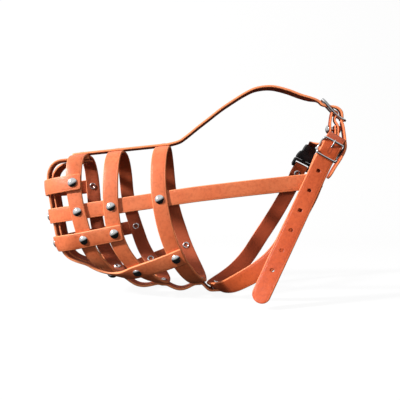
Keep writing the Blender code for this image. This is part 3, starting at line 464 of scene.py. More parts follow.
def make(name, verts, faces, materials, data=None, index=None, sharp=None):
    """An object with outward faces; data holds point attributes, index the material slots."""
    mesh = bpy.data.meshes.new(name)
    mesh.from_pydata([tuple(q) for q in metres(verts)], [],
                     [tuple(int(i) for i in face) for face in faces])
    mesh.update()
    for material in materials:
        mesh.materials.append(material)
    if index is not None:
        mesh.polygons.foreach_set("material_index", np.asarray(index, np.int32))
    for key, values in (data or {}).items():
        attribute = mesh.attributes.new(key, "FLOAT", "POINT")
        attribute.data.foreach_set("value", np.asarray(values, np.float32))
    bm = bmesh.new()
    bm.from_mesh(mesh)
    if bm.calc_volume(signed=True) < 0:
        bmesh.ops.reverse_faces(bm, faces=bm.faces)
    bm.to_mesh(mesh)
    bm.free()
    mesh.shade_smooth()
    if sharp:
        mesh.set_sharp_from_angle(angle=np.radians(sharp))
    obj = bpy.data.objects.new(name, mesh)
    bpy.context.scene.collection.objects.link(obj)
    return obj


def section(flat_points=7, arc_points=4):
    """Once round a strap: part, fraction or sign across, and face (0 inner, 1 outer) or angle."""
    flat = np.linspace(-1, 1, flat_points)
    bend = np.linspace(0, 90, arc_points)[:-1]
    return ([("flat", f, 0.0) for f in flat]
            + [("low", 1.0, -angle) for angle in bend[::-1]]
            + [("high", 1.0, angle) for angle in bend]
            + [("flat", f, 1.0) for f in flat[::-1]]
            + [("high", -1.0, angle) for angle in bend[::-1]]
            + [("low", -1.0, -angle) for angle in bend])


SECTION = section()


def section_points(half, thick, low):
    """Across, rise, edge and side values round one station; low is the inner face's rise."""
    radius = min(EDGE_R, thick / 2 - 0.02, half * 0.5)
    points = []
    for part, reach, value in SECTION:
        if part == "flat":
            rise = low if value == 0 else low + thick + BULGE * (1 - reach * reach)
            points.append((reach * (half - radius), rise, 0.0, value))
            continue
        cos, sin = np.cos(np.radians(value)), np.sin(np.radians(value))
        centre = radius if part == "low" else thick - radius
        points.append((reach * (half - radius + radius * cos), low + centre + radius * sin,
                       0.35 + 0.65 * cos, 0.0 if part == "low" else 1.0))
    return np.array(points).T


def stations(length, step, ends):
    """Distances along a strap, closer together at its rounded ends."""
    def close_by(radius):
        if radius <= 0:
            return [0.0]
        return [0.0, 0.12, 0.3, 0.55, 0.85, 1.3, 1.9, 2.7] + list(np.arange(3.6, radius, 0.9))
    start, end = close_by(ends[0]), close_by(ends[1])
    count = max(2, int(round((length - start[-1] - end[-1]) / step)) + 1)
    mid = np.linspace(start[-1], length - end[-1], count)
    return np.array(start[:-1] + list(mid) + [length - q for q in end[:-1]][::-1])


def taper(here, length, ends, half):
    """Half width, and inset of both faces, at a distance along a strap with rounded ends."""
    reach, radius = (here, ends[0]) if here < length - here else (length - here, ends[1])
    if radius <= 0:
        return half, 0.0
    if reach < radius:
        half = half - radius + np.sqrt(max(0.0, radius ** 2 - (radius - reach) ** 2))
    inset = 0.0
    if reach < EDGE_R:
        inset = EDGE_R - np.sqrt(max(0.0, EDGE_R ** 2 - (EDGE_R - reach) ** 2))
    return max(half - inset * 0.6, 0.35), inset


def sections(run, ends, width, thick, low):
    """Across, rise, edge and side of every station's points, each (stations, points)."""
    found = []
    for here, wide, deep, base in np.broadcast(run, width, thick, low):
        half, inset = taper(here, run[-1], ends, wide / 2)
        found.append(section_points(half, deep - 2 * inset, base + inset))
    return np.array(found).transpose(1, 0, 2)


def skin(name, rings, edges, sides, lateral, run, material, loop=False):
    """Joins the stations' rings into one closed mesh with the attributes of the leather."""
    count, around = rings.shape[:2]
    verts = rings.reshape(-1, 3)
    edge, side, lat = (values.reshape(-1) for values in (edges, sides, lateral))
    length = np.repeat(run, around)
    faces = []
    for i in range(count if loop else count - 1):
        a, b = i * around, ((i + 1) % count) * around
        for j in range(around):
            k = (j + 1) % around
            faces.append((a + j, b + j, b + k, a + k))
    if not loop:
        for first, at_start in ((0, True), ((count - 1) * around, False)):
            verts = np.vstack([verts, verts[first:first + around].mean(0)])
            centre = len(verts) - 1
            edge, side, lat = np.append(edge, 1.0), np.append(side, 0.5), np.append(lat, 0.0)
            length = np.append(length, run[0] if at_start else run[-1])
            edge[first:first + around] = np.maximum(edge[first:first + around], 0.85)
            for j in range(around):
                face = (first + j, first + (j + 1) % around, centre)
                faces.append(face if at_start else face[::-1])
    return make(name, verts, faces, [material],
                {"edge": edge, "side": side, "lat": lat, "run": length})


def form_strap(name, path, height, loop=False, step=1.8):
    """A basket strap that lies on the snout form."""
    if loop:
        ends = (0.0, 0.0)
        p = even(path, step)[:-1]
        t = unit(np.roll(p, -1, 0) - np.roll(p, 1, 0))
        run = along(p)
        lift = height(p)
    else:
        ends = (2.2, 2.2)
        total = along(path)
        run = stations(total[-1], step, ends)
        p = at_run(path, total, run)
        t = unit(at_run(unit(np.gradient(soften(path, 4), axis=0)), total, run))
        lift = at_run(soften(height(path), 12), total, run)
    sideways = unit(np.cross(t, outward(p)))
    across, rise, edges, sides = sections(run, ends, STRAP_W, FORM_T, 0.0)
    spread_out = p[:, None, :] + sideways[:, None, :] * across[..., None]
    feet = onto_snout(spread_out.reshape(-1, 3), 8)
    tall = np.repeat(lift, across.shape[1]) + rise.reshape(-1) - 0.07
    rings = (feet + outward(feet) * tall[:, None]).reshape(across.shape + (3,))
    return skin(name, rings, edges, sides, across / (STRAP_W / 2), run, BASKET, loop)


def free_strap(name, points, across, width, material, thick=LEATHER, ends=(2.2, 2.2), step=1.5,
               flip=False, curve=24, soft=0):
    """A strap along free points; its thickness and width may change from point to point."""
    points = np.asarray(points, float)
    thick = np.broadcast_to(np.asarray(thick, float), (len(points),))
    wide = np.broadcast_to(np.asarray(width, float), (len(points),))
    both = np.hstack([points, unit(across) * 40, thick[:, None] * 10, wide[:, None]])
    dense = curve_through(both, centripetal_piece, curve)
    if soft:
        dense = soften(dense, soft)
    total = along(dense[:, :3])
    run = stations(total[-1], step, ends)
    direction = unit(soften(unit(np.gradient(dense[:, :3], axis=0)), 3))
    p = at_run(dense[:, :3], total, run)
    t = unit(at_run(direction, total, run))
    sideways = unit(at_run(dense[:, 3:6], total, run))
    thick = at_run(dense[:, 6], total, run) / 10
    wide = at_run(dense[:, 7], total, run)
    sign = -1 if flip else 1
    normal = unit(np.cross(sideways, t)) * sign
    sideways = unit(np.cross(t, normal)) * sign
    reach, rise, edges, sides = sections(run, ends, wide, thick, -thick / 2)
    rings = (p[:, None] + reach[..., None] * sideways[:, None]
             + rise[..., None] * normal[:, None])
    return skin(name, rings, edges, sides, reach / (wide / 2)[:, None], run, material)


def tube(points, radius, sides, loop=False):
    """A round wire; a closed one is joined with the least twist."""
    p = np.asarray(points, float)
    radius = np.broadcast_to(np.asarray(radius, float), (len(p),))
    t = unit(np.roll(p, -1, 0) - np.roll(p, 1, 0)) if loop else unit(np.gradient(p, axis=0))
    u = unit(np.cross(t[0], [0.31, 0.87, 0.21]))
    turn = (np.arange(sides) * 2 * np.pi / sides)[:, None]
    rings = []
    for i in range(len(p)):
        u = unit(u - t[i] * np.dot(u, t[i]))
        v = np.cross(t[i], u)
        rings.append(p[i] + radius[i] * (np.cos(turn) * u + np.sin(turn) * v))
    count, shift = len(p), 0
    if loop:
        gaps = [np.linalg.norm(np.roll(rings[0], -s, 0) - rings[-1], axis=1).sum()
                for s in range(sides)]
        shift = int(np.argmin(gaps))
    faces = []
    for i in range(count if loop else count - 1):
        a, b = i * sides, ((i + 1) % count) * sides
        offset = shift if i == count - 1 else 0
        for j in range(sides):
            k = (j + 1) % sides
            faces.append((a + j, a + k, b + (k + offset) % sides, b + (j + offset) % sides))
    if not loop:
        faces.append(tuple(range(sides))[::-1])
        faces.append(tuple(range((count - 1) * sides, count * sides)))
    return np.vstack(rings), faces


def turned(origin, axis, profile, sides=32):
    """A solid of revolution; the profile is pairs of (radius, height)."""
    axis = unit(axis)
    u = unit(np.cross(axis, [0.3, 0.9, 0.2] if abs(axis[1]) < 0.9 else [1, 0, 0]))
    v = np.cross(axis, u)
    turn = (np.arange(sides) * 2 * np.pi / sides)[:, None]
    verts = [origin + axis * height + max(radius, 1e-3) * (np.cos(turn) * u + np.sin(turn) * v)
             for radius, height in profile]
    faces = []
    for i in range(len(profile) - 1):
        for j in range(sides):
            k = (j + 1) % sides
            faces.append((i * sides + j, i * sides + k, (i + 1) * sides + k, (i + 1) * sides + j))
    faces.append(tuple(range(sides))[::-1])
    faces.append(tuple(range((len(profile) - 1) * sides, len(profile) * sides)))
    return np.vstack(verts), faces


def plate(fitting, outline, low, high):
    """A flat solid; the outline is pairs of (along, across), low and high are heights out."""
    count = len(outline)
    verts = np.array([fitting.at(a, b, out) for out in (low, high) for a, b in outline])
    faces = [tuple(range(count))[::-1], tuple(range(count, 2 * count))]
    faces += [(i, (i + 1) % count, count + (i + 1) % count, count + i) for i in range(count)]
    return verts, faces


def block(low, high):
    """A box in the clasp's frame between two corners."""
    (a0, b0, out0), (a1, b1, out1) = low, high
    return plate(CLASP, [(a0, b0), (a0, b1), (a1, b1), (a1, b0)], out0, out1)


def slot_hole(fitting, low, high, half, deep):
    """A slot with round ends from low to high along the fitting."""
    turn = np.linspace(-np.pi / 2, np.pi / 2, 10)
    outline = [(low + half - half * np.cos(a), half * np.sin(a)) for a in turn]
    outline += [(high - half + half * np.cos(a), half * np.sin(a)) for a in turn[::-1]]
    return plate(fitting, outline, *deep)


def mirrored(half):
    return half + [(forth, -aside) for forth, aside in half[::-1]]


def joined(parts):
    verts, faces, base = [], [], 0
    for points, part_faces in parts:
        verts.append(np.asarray(points, float))
        faces += [tuple(i + base for i in face) for face in part_faces]
        base += len(points)
    return np.vstack(verts), faces


def combine(obj, shape, operation, material, transfer=False):
    """Adds a boolean with a shape and returns the tool object."""
    tool = make(obj.name + "_tool", shape[0], shape[1], [material])
    modifier = obj.modifiers.new(operation, "BOOLEAN")
    modifier.operation, modifier.solver, modifier.object = operation, "EXACT", tool
    if transfer:
        modifier.material_mode = "TRANSFER"
    return tool


def bake(obj, tools):
    """Applies the modifiers and removes the tools."""
    bpy.context.view_layer.update()
    graph = bpy.context.evaluated_depsgraph_get()
    mesh = bpy.data.meshes.new_from_object(obj.evaluated_get(graph))
    obj.modifiers.clear()
    obj.data = mesh
    for tool in tools:
        bpy.data.objects.remove(tool, do_unlink=True)


def punch(obj, shapes):
    """Cuts closed shapes out of a strap; their walls take a near-black material, painted shade for
    the dark inside of the hole.
    """
    bake(obj, [combine(obj, joined(shapes), "DIFFERENCE", HOLE_WALL_SHADE, transfer=True)])


# ---------------------------------------------------------------- materials
class Net:
    """Short ways to add nodes to a tree."""
    def __init__(self, tree):
        self.tree = tree

    def feed(self, socket, value):
        if isinstance(value, bpy.types.NodeSocket):
            self.tree.links.new(value, socket)
        elif socket.type == "RGBA" and len(value) == 3:
            socket.default_value = tuple(value) + (1,)
        else:
            socket.default_value = value

    def fill(self, node, **inputs):
        for key, value in inputs.items():
            self.feed(node.inputs[key.replace("_", " ")], value)

    def add(self, kind, **values):
        """Capitalised names are inputs of the node, the others its settings."""
        node = self.tree.nodes.new(kind)
        for key, value in values.items():
            if key[0].isupper():
                self.fill(node, **{key: value})
            else:
                setattr(node, key, value)
        return node

    def object_place(self):
        return self.add("ShaderNodeTexCoord").outputs["Object"]

    def mix(self, factor, first, second):
        node = self.add("ShaderNodeMix", data_type="RGBA")
        for index, value in ((0, factor), (6, first), (7, second)):
            self.feed(node.inputs[index], value)
        return node.outputs[2]

    def calc(self, operation, first, second=0.0):
        node = self.add("ShaderNodeMath", operation=operation)
        self.feed(node.inputs[0], first)
        self.feed(node.inputs[1], second)
        return node.outputs[0]

    def noise(self, where, scale, detail=3.0, rough=0.5, distort=0.0):
        return self.add("ShaderNodeTexNoise", Scale=scale, Detail=detail, Roughness=rough,
                        Distortion=distort, Vector=where).outputs["Fac"]

    def spread(self, value, low, high, start=0.0, end=1.0):
        """Maps low..high onto start..end, clamped."""
        return self.add("ShaderNodeMapRange", clamp=True, Value=value, From_Min=low,
                        From_Max=high, To_Min=start, To_Max=end).outputs["Result"]

    def bump(self, height, strength, distance, **normal):
        return self.add("ShaderNodeBump", Strength=strength, Distance=distance, Height=height,
                        **normal).outputs["Normal"]


def new_material(name):
    material = bpy.data.materials.new(name)
    material.use_nodes = True
    return material, Net(material.node_tree), material.node_tree.nodes["Principled BSDF"]


def leather(name, light, mid, dark, edge, flesh_and_shade, gloss):
    """Leather with grain outside, fibres inside, an inside colour darkened partly as painted shade,
    and pale cut edges; gloss is its roughness.
    """
    material, net, shader = new_material(name)
    where = net.object_place()
    rim, face, lateral = (net.add("ShaderNodeAttribute", attribute_name=key).outputs["Fac"]
                          for key in ("edge", "side", "lat"))
    broad = net.noise(where, scale=26, detail=3, rough=0.55)
    fine = net.noise(where, scale=330, detail=5, rough=0.6)
    colour = net.mix(net.spread(broad, low=0.3, high=0.7), mid, light)
    colour = net.mix(net.spread(fine, low=0.46, high=0.72, end=0.45), colour, dark)
    # paler, rubbed leather next to the cut edges, and a thin dark crease line beside them
    off_middle = net.calc("ABSOLUTE", lateral)
    rubbed = net.calc("MULTIPLY", net.spread(off_middle, low=0.80, high=0.93, end=0.5),
                      net.spread(fine, low=0.3, high=0.6))
    colour = net.mix(rubbed, colour, edge)
    crease = net.calc("MULTIPLY", net.spread(off_middle, low=0.74, high=0.77),
                      net.spread(off_middle, low=0.82, high=0.785))
    colour = net.mix(net.calc("MULTIPLY", crease, 0.22), colour, dark)
    # the flesh side is fibrous and darker: partly its own colour, partly painted shade for the
    # shaded inner faces
    fibre = net.noise(where, scale=900, detail=4, rough=0.7, distort=1.5)
    under = net.mix(net.spread(fibre, low=0.35, high=0.7, end=0.5), flesh_and_shade, mid)
    colour = net.mix(net.spread(face, low=0.25, high=0.75), under, colour)
    rough_cut = net.mix(net.spread(fibre, low=0.35, high=0.7), edge, mid)
    colour = net.mix(net.spread(rim, low=0.45, high=0.9), colour, net.mix(0.25, edge, rough_cut))
    # grain: small wavering cells with finer pores
    wobble = net.add("ShaderNodeTexNoise", Scale=500.0, Detail=2.0, Vector=where)
    warp = net.add("ShaderNodeVectorMath", operation="MULTIPLY_ADD")
    wobble_size = (0.0009, 0.0009, 0.0009)
    for index, value in enumerate((wobble.outputs["Color"], wobble_size, where)):
        net.feed(warp.inputs[index], value)
    cells = net.add("ShaderNodeTexVoronoi", feature="DISTANCE_TO_EDGE", Scale=900,
                    Vector=warp.outputs[0])
    grain = net.spread(cells.outputs["Distance"], low=0.0, high=0.25)
    grain = net.calc("MULTIPLY", grain, 0.6)
    pores = net.noise(where, scale=2200, detail=3, rough=0.6)
    grain = net.calc("ADD", grain, net.calc("MULTIPLY", pores, 0.5))
    fleshy = net.calc("MULTIPLY", fibre, 1.6)
    height = net.mix(net.spread(face, low=0.25, high=0.75), fleshy, grain)
    height = net.calc("SUBTRACT", height, net.calc("MULTIPLY", crease, 1.2))
    waves = net.bump(net.noise(where, scale=75, detail=2, rough=0.5),
                     strength=0.35, distance=0.0012)
    normal = net.bump(height, strength=0.55, distance=0.00014, Normal=waves)
    # duller on the flesh side and on the cut edges
    rough = net.calc("ADD",
                     net.spread(fine, low=0.3, high=0.75, start=gloss - 0.07, end=gloss + 0.09),
                     net.spread(face, low=0.75, high=0.25, end=0.22))
    rough = net.calc("ADD", rough, net.spread(rim, low=0.4, high=0.9, end=0.12))
    net.fill(shader, Base_Color=colour, Normal=normal, Roughness=rough, Specular_IOR_Level=0.38,
             Coat_Weight=0.05, Coat_Roughness=0.34, Sheen_Weight=0.04, Sheen_Roughness=0.4,
             Sheen_Tint=(1.0, 0.72, 0.55))
    return material


def nickel(name):
    material, net, shader = new_material(name)
    where = net.object_place()
    fine = net.noise(where, scale=1600, detail=4, rough=0.6)
    broad = net.noise(where, scale=160, detail=2, rough=0.5)
    net.fill(shader,
             Base_Color=net.mix(net.spread(broad, low=0.35, high=0.7),
                                (0.80, 0.80, 0.81), (0.90, 0.90, 0.91)),
             Metallic=1.0,
             Roughness=net.spread(fine, low=0.3, high=0.75, start=0.06, end=0.17),
             Normal=net.bump(fine, strength=0.12, distance=0.00006))
    return material


def plastic(name):
    material, net, shader = new_material(name)
    where = net.object_place()
    fine = net.noise(where, scale=1900, detail=3, rough=0.6)
    broad = net.noise(where, scale=120, detail=2, rough=0.5)
    net.fill(shader,
             Base_Color=net.mix(net.spread(broad, low=0.35, high=0.7),
                                (0.006, 0.006, 0.007), (0.014, 0.014, 0.016)),
             Roughness=net.spread(broad, low=0.3, high=0.7, start=0.20, end=0.34),
             Normal=net.bump(fine, strength=0.25, distance=0.00008))
    return material


# dark mottled material, used as painted shade inside holes and bores
def painted_shade_material(name, colour, roughness):
    material, net, shader = new_material(name)
    mottle = net.spread(net.noise(net.object_place(), scale=900, detail=3), low=0.3, high=0.7)
    lighter = tuple(channel * 2.2 for channel in colour)
    net.fill(shader, Base_Color=net.mix(mottle, colour, lighter), Roughness=roughness)
    return material


# the flesh colours below are darkened partly as painted shade for the shaded inner faces
BASKET = leather("basket leather", light=(0.62, 0.165, 0.062), mid=(0.53, 0.108, 0.034),
                 dark=(0.31, 0.046, 0.011), edge=(0.76, 0.25, 0.10),
                 flesh_and_shade=(0.27, 0.042, 0.010), gloss=0.42)
HARNESS = leather("harness leather", light=(0.52, 0.090, 0.024), mid=(0.43, 0.060, 0.013),
                  dark=(0.25, 0.027, 0.004), edge=(0.70, 0.19, 0.065),
                  flesh_and_shade=(0.26, 0.036, 0.008), gloss=0.44)
NICKEL = nickel("bright nickel")
PLASTIC = plastic("black plastic")
# near-black walls of the holes: painted shade for the dark inside them
HOLE_WALL_SHADE = painted_shade_material("punched hole painted shade", colour=(0.06, 0.018, 0.008), roughness=0.8)
# near-black tube of each rivet: painted shade for the dark inside of the bore
BORE_SHADE = painted_shade_material("rivet bore painted shade", colour=(0.012, 0.011, 0.010), roughness=0.6)


def dressed(replaced):
    if replaced:
        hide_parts(*replaced)


def rides(obj, body, slot, *replaced):
    """The piece moves with one body of the frame."""
    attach(obj, body)
    dressed(replaced)


def bends(obj, first, second, start, end, slot, *replaced):
    """Bakes the piece's placement into its mesh and hides the parts it stands for."""
    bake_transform(obj)
    dressed(replaced)


# ---------------------------------------------------------------- basket straps
def basket_strap(piece, path, height, loop=False):
    rides(form_strap(piece + "_leather", path, height, loop), "basket", "basket_leather", piece)


def cheek_and_nose_strap():
    """The middle band runs on rearwards as the cheek straps, so it is one long strap."""
    ring = band_path("middle", 3.0, 1.0)
    lift = soften(middle_height(ring), 12) + LEATHER / 2
    core = even(ring + outward(ring) * lift[:, None], 5.0)[2:-2]
    sideways = unit(np.cross(unit(np.gradient(core, axis=0)), outward(core)))
    upwards = sideways * np.sign(sideways[:, 2:3])
    cheek_across = repeated((CHEEK_ACROSS, len(CHEEK)))
    strap = free_strap("cheek_and_nose_strap",
                       np.vstack([(CHEEK * [1, -1, 1])[::-1], core, CHEEK]),
                       np.vstack([cheek_across, upwards, cheek_across]), STRAP_W, BASKET,
                       thick=LONG_T, step=1.8, curve=10)
    bends(strap, "basket", "harness", (7.5, 0, 2.2), (16.5, 0, 2.2), "basket_leather",
          "nose_band_middle", "cheek_strap_near", "cheek_strap_far")


def bridge_and_crown_strap():
    """The bridge strap runs on over the forehead to the crown buckle."""
    x = np.arange(-97.0, 4.1, 4.0)
    bridge = lifted_middle(x, roof(x), constant(LAYER))
    size = CROWN_SIZE
    threaded = [(-size.front - 2.0, size.lift_f - BAR_CLEAR - 0.4),
                (-size.front + 3.0, size.lift_f - BAR_CLEAR - 0.2),
                (-9.5, 1.9), (-5.5, 5.0), (-1.0, 6.5), (3.5, 6.0), (7.0, 3.6), (9.2, 1.2),
                (10.6, -0.9)]
    points = np.vstack([bridge, in_middle(CROWN_CENTRE), CROWN.middle(threaded)])
    across = repeated(((0, -1, 0), len(bridge) + len(CROWN_CENTRE) - 3), ((-0.03, -1, 0), 1),
                      ((-0.08, -1, 0), 1), ((-0.16, -1, 0), 1), (-CROWN.across, len(threaded)))
    strap = free_strap("bridge_and_crown_strap", points, across, STRAP_W, BASKET, thick=LONG_T,
                       ends=(2.2, 0.8), curve=16)
    punch(strap, [turned(CROWN.at(-15.4, 0, 0), CROWN.out, [(1.5, -8), (1.5, 12)], 20)])
    bends(strap, "basket", "harness", (8.5, 0, 58), (18.5, 0, 64), "basket_leather",
          "bridge_strap", "crown_strap")


def floor_strap():
    """The floor strap runs on under the throat strap, where it is riveted."""
    x = np.arange(-45.0, 62.1, 2.0)
    line = lifted_middle(x, floor_z(x), floor_height)
    line = line[line[:, 0] < 41.5]
    points = np.vstack([line, in_middle([(47.0, -95.2), (54.0, -95.3), (62.5, -95.1)])])
    strap = free_strap("floor_strap_leather", points, repeated(((0, -1, 0), len(points))),
                       STRAP_W, BASKET, flip=True, curve=8, soft=8)
    bends(strap, "basket", "harness", (37.0, 0, -93), (45.0, 0, -93), "basket_leather",
          "floor_strap")


for hoop in HOOPS:
    basket_strap("hoop_" + hoop, hoop_path(hoop), constant(0), loop=True)
basket_strap("nose_band_upper", band_path("upper", -78.0, 0.8, far_cut=4.5), constant(LAYER))
basket_strap("nose_band_lower", band_path("lower", -36.6, 0.8), constant(LAYER))
for side, word in SIDES:
    basket_strap("chin_strap_" + word, chin_path(side, 0.8), chin_height(side))
cheek_and_nose_strap()
bridge_and_crown_strap()
floor_strap()


# ---------------------------------------------------------------- harness straps
def throat_strap():
    """From its fold on the neck buckle, under the throat, to its fold in the clasp."""
    points = np.vstack([NECK.middle(NECK_FOLD), THROAT[:, :3], CLASP.middle(CLASP_FOLD)])
    turn = THROAT[:, 3:]
    across = np.vstack([repeated((NECK.across, len(NECK_FOLD))),
                        unit(TILT - turn * [0, 1, 0]),
                        repeated((CLASP.across, len(CLASP_FOLD)))])
    thick = ([FOLD_T] * len(NECK_FOLD) + [LEATHER] * len(THROAT) + [FOLD_T] * len(CLASP_FOLD))
    width = np.full(len(points), COLLAR_W)
    width[-len(THROAT_TRIM):] -= THROAT_TRIM
    strap = free_strap("throat_strap_leather", points, across, width, HARNESS, thick=thick,
                       curve=14, step=1.4, ends=(1.5, 1.5), flip=True)
    punch(strap, [slot_hole(NECK, -6.0, 4.6, 1.5, (-5.0, 5.0))])
    rides(strap, "harness", "harness_leather", "throat_strap")


def collar_strap():
    """Over the neck, under the neck buckle's front bar, over its pivot, under its rear bar and
    on as the free tail with its holes."""
    size = NECK_SIZE
    over = BAR_R + 0.25 + FOLD_T + 0.3 + LEATHER / 2
    threaded = [(-size.front, size.lift_f - BAR_CLEAR - 0.3), (-size.front * 0.5, over + 0.1),
                (0.0, over + 0.45), (size.rear, size.lift_r - BAR_CLEAR)]
    start = NECK.at(size.rear + 5.1, 0, size.lift_r - BAR_CLEAR - 0.25)
    t = np.linspace(0, 1, 9)[:, None]
    tail = start + (NECK_TAIL_END - start) * t
    tail_across = unit(NECK.across * (1 - t) + NECK_TAIL_TWIST * t)
    points = np.vstack([NAPE_NEAR[:, :3], NECK.middle(threaded), tail[1:]])
    across = np.vstack([NAPE_NEAR[:, 3:], repeated((NECK.across, len(threaded))),
                        tail_across[1:]])
    strap = free_strap("collar_strap_leather", points, across, COLLAR_W, HARNESS, curve=16,
                       ends=(0, 8.6), flip=True)
    run = unit(NECK_TAIL_END - start)
    out = unit(np.cross(tail_across[3], run))
    holes = [turned(start + run * (FIRST_HOLE + HOLE_PITCH * k), out,
                    [(HOLE_R, -5), (HOLE_R, 5)], 24) for k in range(HOLE_COUNT)]
    punch(strap, holes + [slot_hole(NECK, -7.4, 1.6, 1.45, (1.0, 9.0))])
    bends(strap, "harness", "neck_tail", start - run * 2.0, start + run * 5.0,
          "harness_leather", "nape_strap_near", "neck_strap_tail")


def nape_strap_far():
    """From the crown loop over the far side, narrowed at its end to enter the socket."""
    entry = [(SOCKET_TOP + 3.4, -5.4), (SOCKET_TOP + 2.6, -1.8), (SOCKET_TOP - 1.2, 0.6)]
    strap = free_strap("nape_strap_far_leather",
                       np.vstack([NAPE_FAR[:, :3], CLASP.middle(entry)]),
                       np.vstack([NAPE_FAR[:, 3:], repeated((CLASP.across, len(entry)))]),
                       NAPE_FAR_W, HARNESS, thick=[LEATHER] * 5 + [FOLD_T] * 3, ends=(0, 1.0))
    bends(strap, "harness", "socket", (179, 6.5, 56), (177, 30, 62), "harness_leather",
          "nape_strap_far")


def crown_tail():
    """The crown strap's end, hanging behind the buckle and drifting to the near side."""
    points = [CROWN.at(10.9, 0, -1.3)]
    points += [(x, -0.3 - 1.9 * k, z) for k, (x, z) in enumerate(CROWN_TAIL)]
    strap = free_strap("crown_tail_leather", np.vstack(points),
                       repeated((-CROWN.across, 4), ((-0.12, -1, 0), 4)), STRAP_W, HARNESS,
                       ends=(0.8, 5.5))
    bends(strap, "harness", "crown_tail", (189.2, -0.3, 81.6), (190.1, -1.6, 75.0),
          "harness_leather", "crown_strap_tail")


def crown_loop():
    """The folded strip: up behind, over the pivot bar, down in front, round the nape strap."""
    radius = BAR_R + 0.7 + LOOP_T / 2
    round_bar = [(radius + 2.2, -4.6)]
    round_bar += [(radius * np.cos(a), radius * np.sin(a))
                  for a in np.radians([-20, 20, 60, 100, 140, 175, 205])]
    points = np.vstack([in_middle(LOOP_BEHIND), CROWN.middle(round_bar), in_middle(LOOP_AHEAD)])
    strap = free_strap("crown_loop_leather", points,
                       repeated((-CROWN.across, 12), ((-0.1, -1, 0), 9)), LOOP_W, HARNESS,
                       thick=LOOP_T, ends=(1.2, 1.2), step=1.2)
    punch(strap, [slot_hole(CROWN, -6.0, 6.0, 1.5, (-6.5, 5.6))])
    rides(strap, "harness", "harness_leather", "crown_loop")


throat_strap()
collar_strap()
nape_strap_far()
crown_tail()
crown_loop()

# ---------------------------------------------------------------- rivets
RIM = 4.55                                # radius of a rivet's cap
OUTER_PAIR = (0.0, LAYER + LEATHER)       # through the hoop's layer and the one outside it
INNER_PAIR = (-LAYER, LEATHER)            # through the hoop's layer and the one inside it
# rivets on each side: hoop, band, heights they span
CROSSINGS = [("front", "upper", OUTER_PAIR), ("front", "middle", INNER_PAIR),
             ("front", "lower", OUTER_PAIR), ("middle", "middle", INNER_PAIR),
             ("middle", "lower", OUTER_PAIR), ("rear", "middle", INNER_PAIR)]


def rivet(name, point, axis, low, high, body="basket", cap_h=2.0):
    """A tube rivet: domed cap outside, a post, and a rolled ring inside, whose bore is painted
    near-black as painted shade.
    """
    point, axis = np.asarray(point, float), unit(axis)
    a, c = low - 0.12, high + 0.22
    ball = (RIM ** 2 + cap_h ** 2) / (2 * cap_h)
    dome = [(ball * np.sin(q), c + 0.42 + cap_h - ball + ball * np.cos(q))
            for q in np.linspace(np.arcsin(RIM * 0.985 / ball), 0.02, 9)]
    # the first two points close the bore with a flat disc, a sheet that carries the painted shade
    profile = [
        (0.02, a + 2.0), (1.75, a + 2.0), (1.9, a + 0.5), (2.0, a - 0.3), (2.3, a - 0.85),
        (2.8, a - 1.12), (3.4, a - 1.0), (3.95, a - 0.55), (4.1, a - 0.1), (3.9, a + 0.12),
        (2.2, a + 0.25), (2.2, c), (RIM - 0.3, c), (RIM, c + 0.18), (RIM, c + 0.40)] + dome
    verts, faces = turned(point, axis, profile)
    tall = (verts - point) @ axis
    wide = np.linalg.norm(verts - point - tall[:, None] * axis, axis=1)

    # faces of the bore's wall and of its closing disc take the near-black painted shade
    def bore_shade_face(face):
        radii = wide[list(face)]
        return radii.max() < 2.02 and tall[list(face)].max() < a + 2.2 and radii.mean() < 1.97
    obj = make(name + "_nickel", verts, faces, [NICKEL, BORE_SHADE],
               index=[int(bore_shade_face(face)) for face in faces], sharp=50)
    rides(obj, body, "nickel", name)


for side, word in SIDES:
    for hoop, band, span in CROSSINGS:
        point = cross_point(hoop, band, side)
        rivet("rivet_%s_%s_%s" % (hoop, band, word), point, outward(point), *span)
    chin = chin_path(side, 1.0)
    for hoop in HOOPS:
        low_part = chin[chin[:, 2] < -45]
        if hoop == "rear":
            low_part = low_part[low_part[:, 0] > -10]
        gaps = abs(low_part[:, 0] - hoop_x(hoop, low_part[:, 1], low_part[:, 2]))
        point = low_part[int(np.argmin(gaps))]
        rivet("rivet_%s_chin_%s" % (hoop, word), point, outward(point), *OUTER_PAIR)
    for band in ("middle", "lower"):
        front = chin[(chin[:, 0] < -90) & (chin[:, 2] < 5)]
        point = front[int(np.argmin(abs(front[:, 2] - band_z(band, front[:, 0]))))]
        rivet("rivet_nose_%s_%s" % (band, word), point, outward(point), *OUTER_PAIR)
    rivet("rivet_cheek_" + word, (149.5, 52.6 * side, 18.3), (0, side, 0), -2.8, 2.9, "harness")
for hoop, low in (("front", -2 * LAYER), ("middle", 0), ("rear", 0)):
    x = HOOPS[hoop][0] + 0.3
    point = on_middle(x, roof(x))
    rivet("rivet_%s_roof" % hoop, point, outward(point), low, 4.95, cap_h=0.7)
for hoop in ("middle", "rear"):
    x = sum(HOOPS[hoop][:3])
    point = on_middle(x, floor_z(x))
    rivet("rivet_%s_floor" % hoop, point, outward(point), 0, 5.0, cap_h=0.9)
rivet("rivet_clasp_fold", CLASP.at(-8.3, 0, 0.4), CLASP.out, -2.4, 2.9, "harness")
rivet("rivet_crown_loop", (181.4, 0.0, 75.5), (-1, 0, 0), -4.9, 6.8, "harness")
rivet("rivet_throat_floor", THROAT_RIVET, np.cross(TILT, (0, -1, 0)), -4.2, 1.5, "harness")


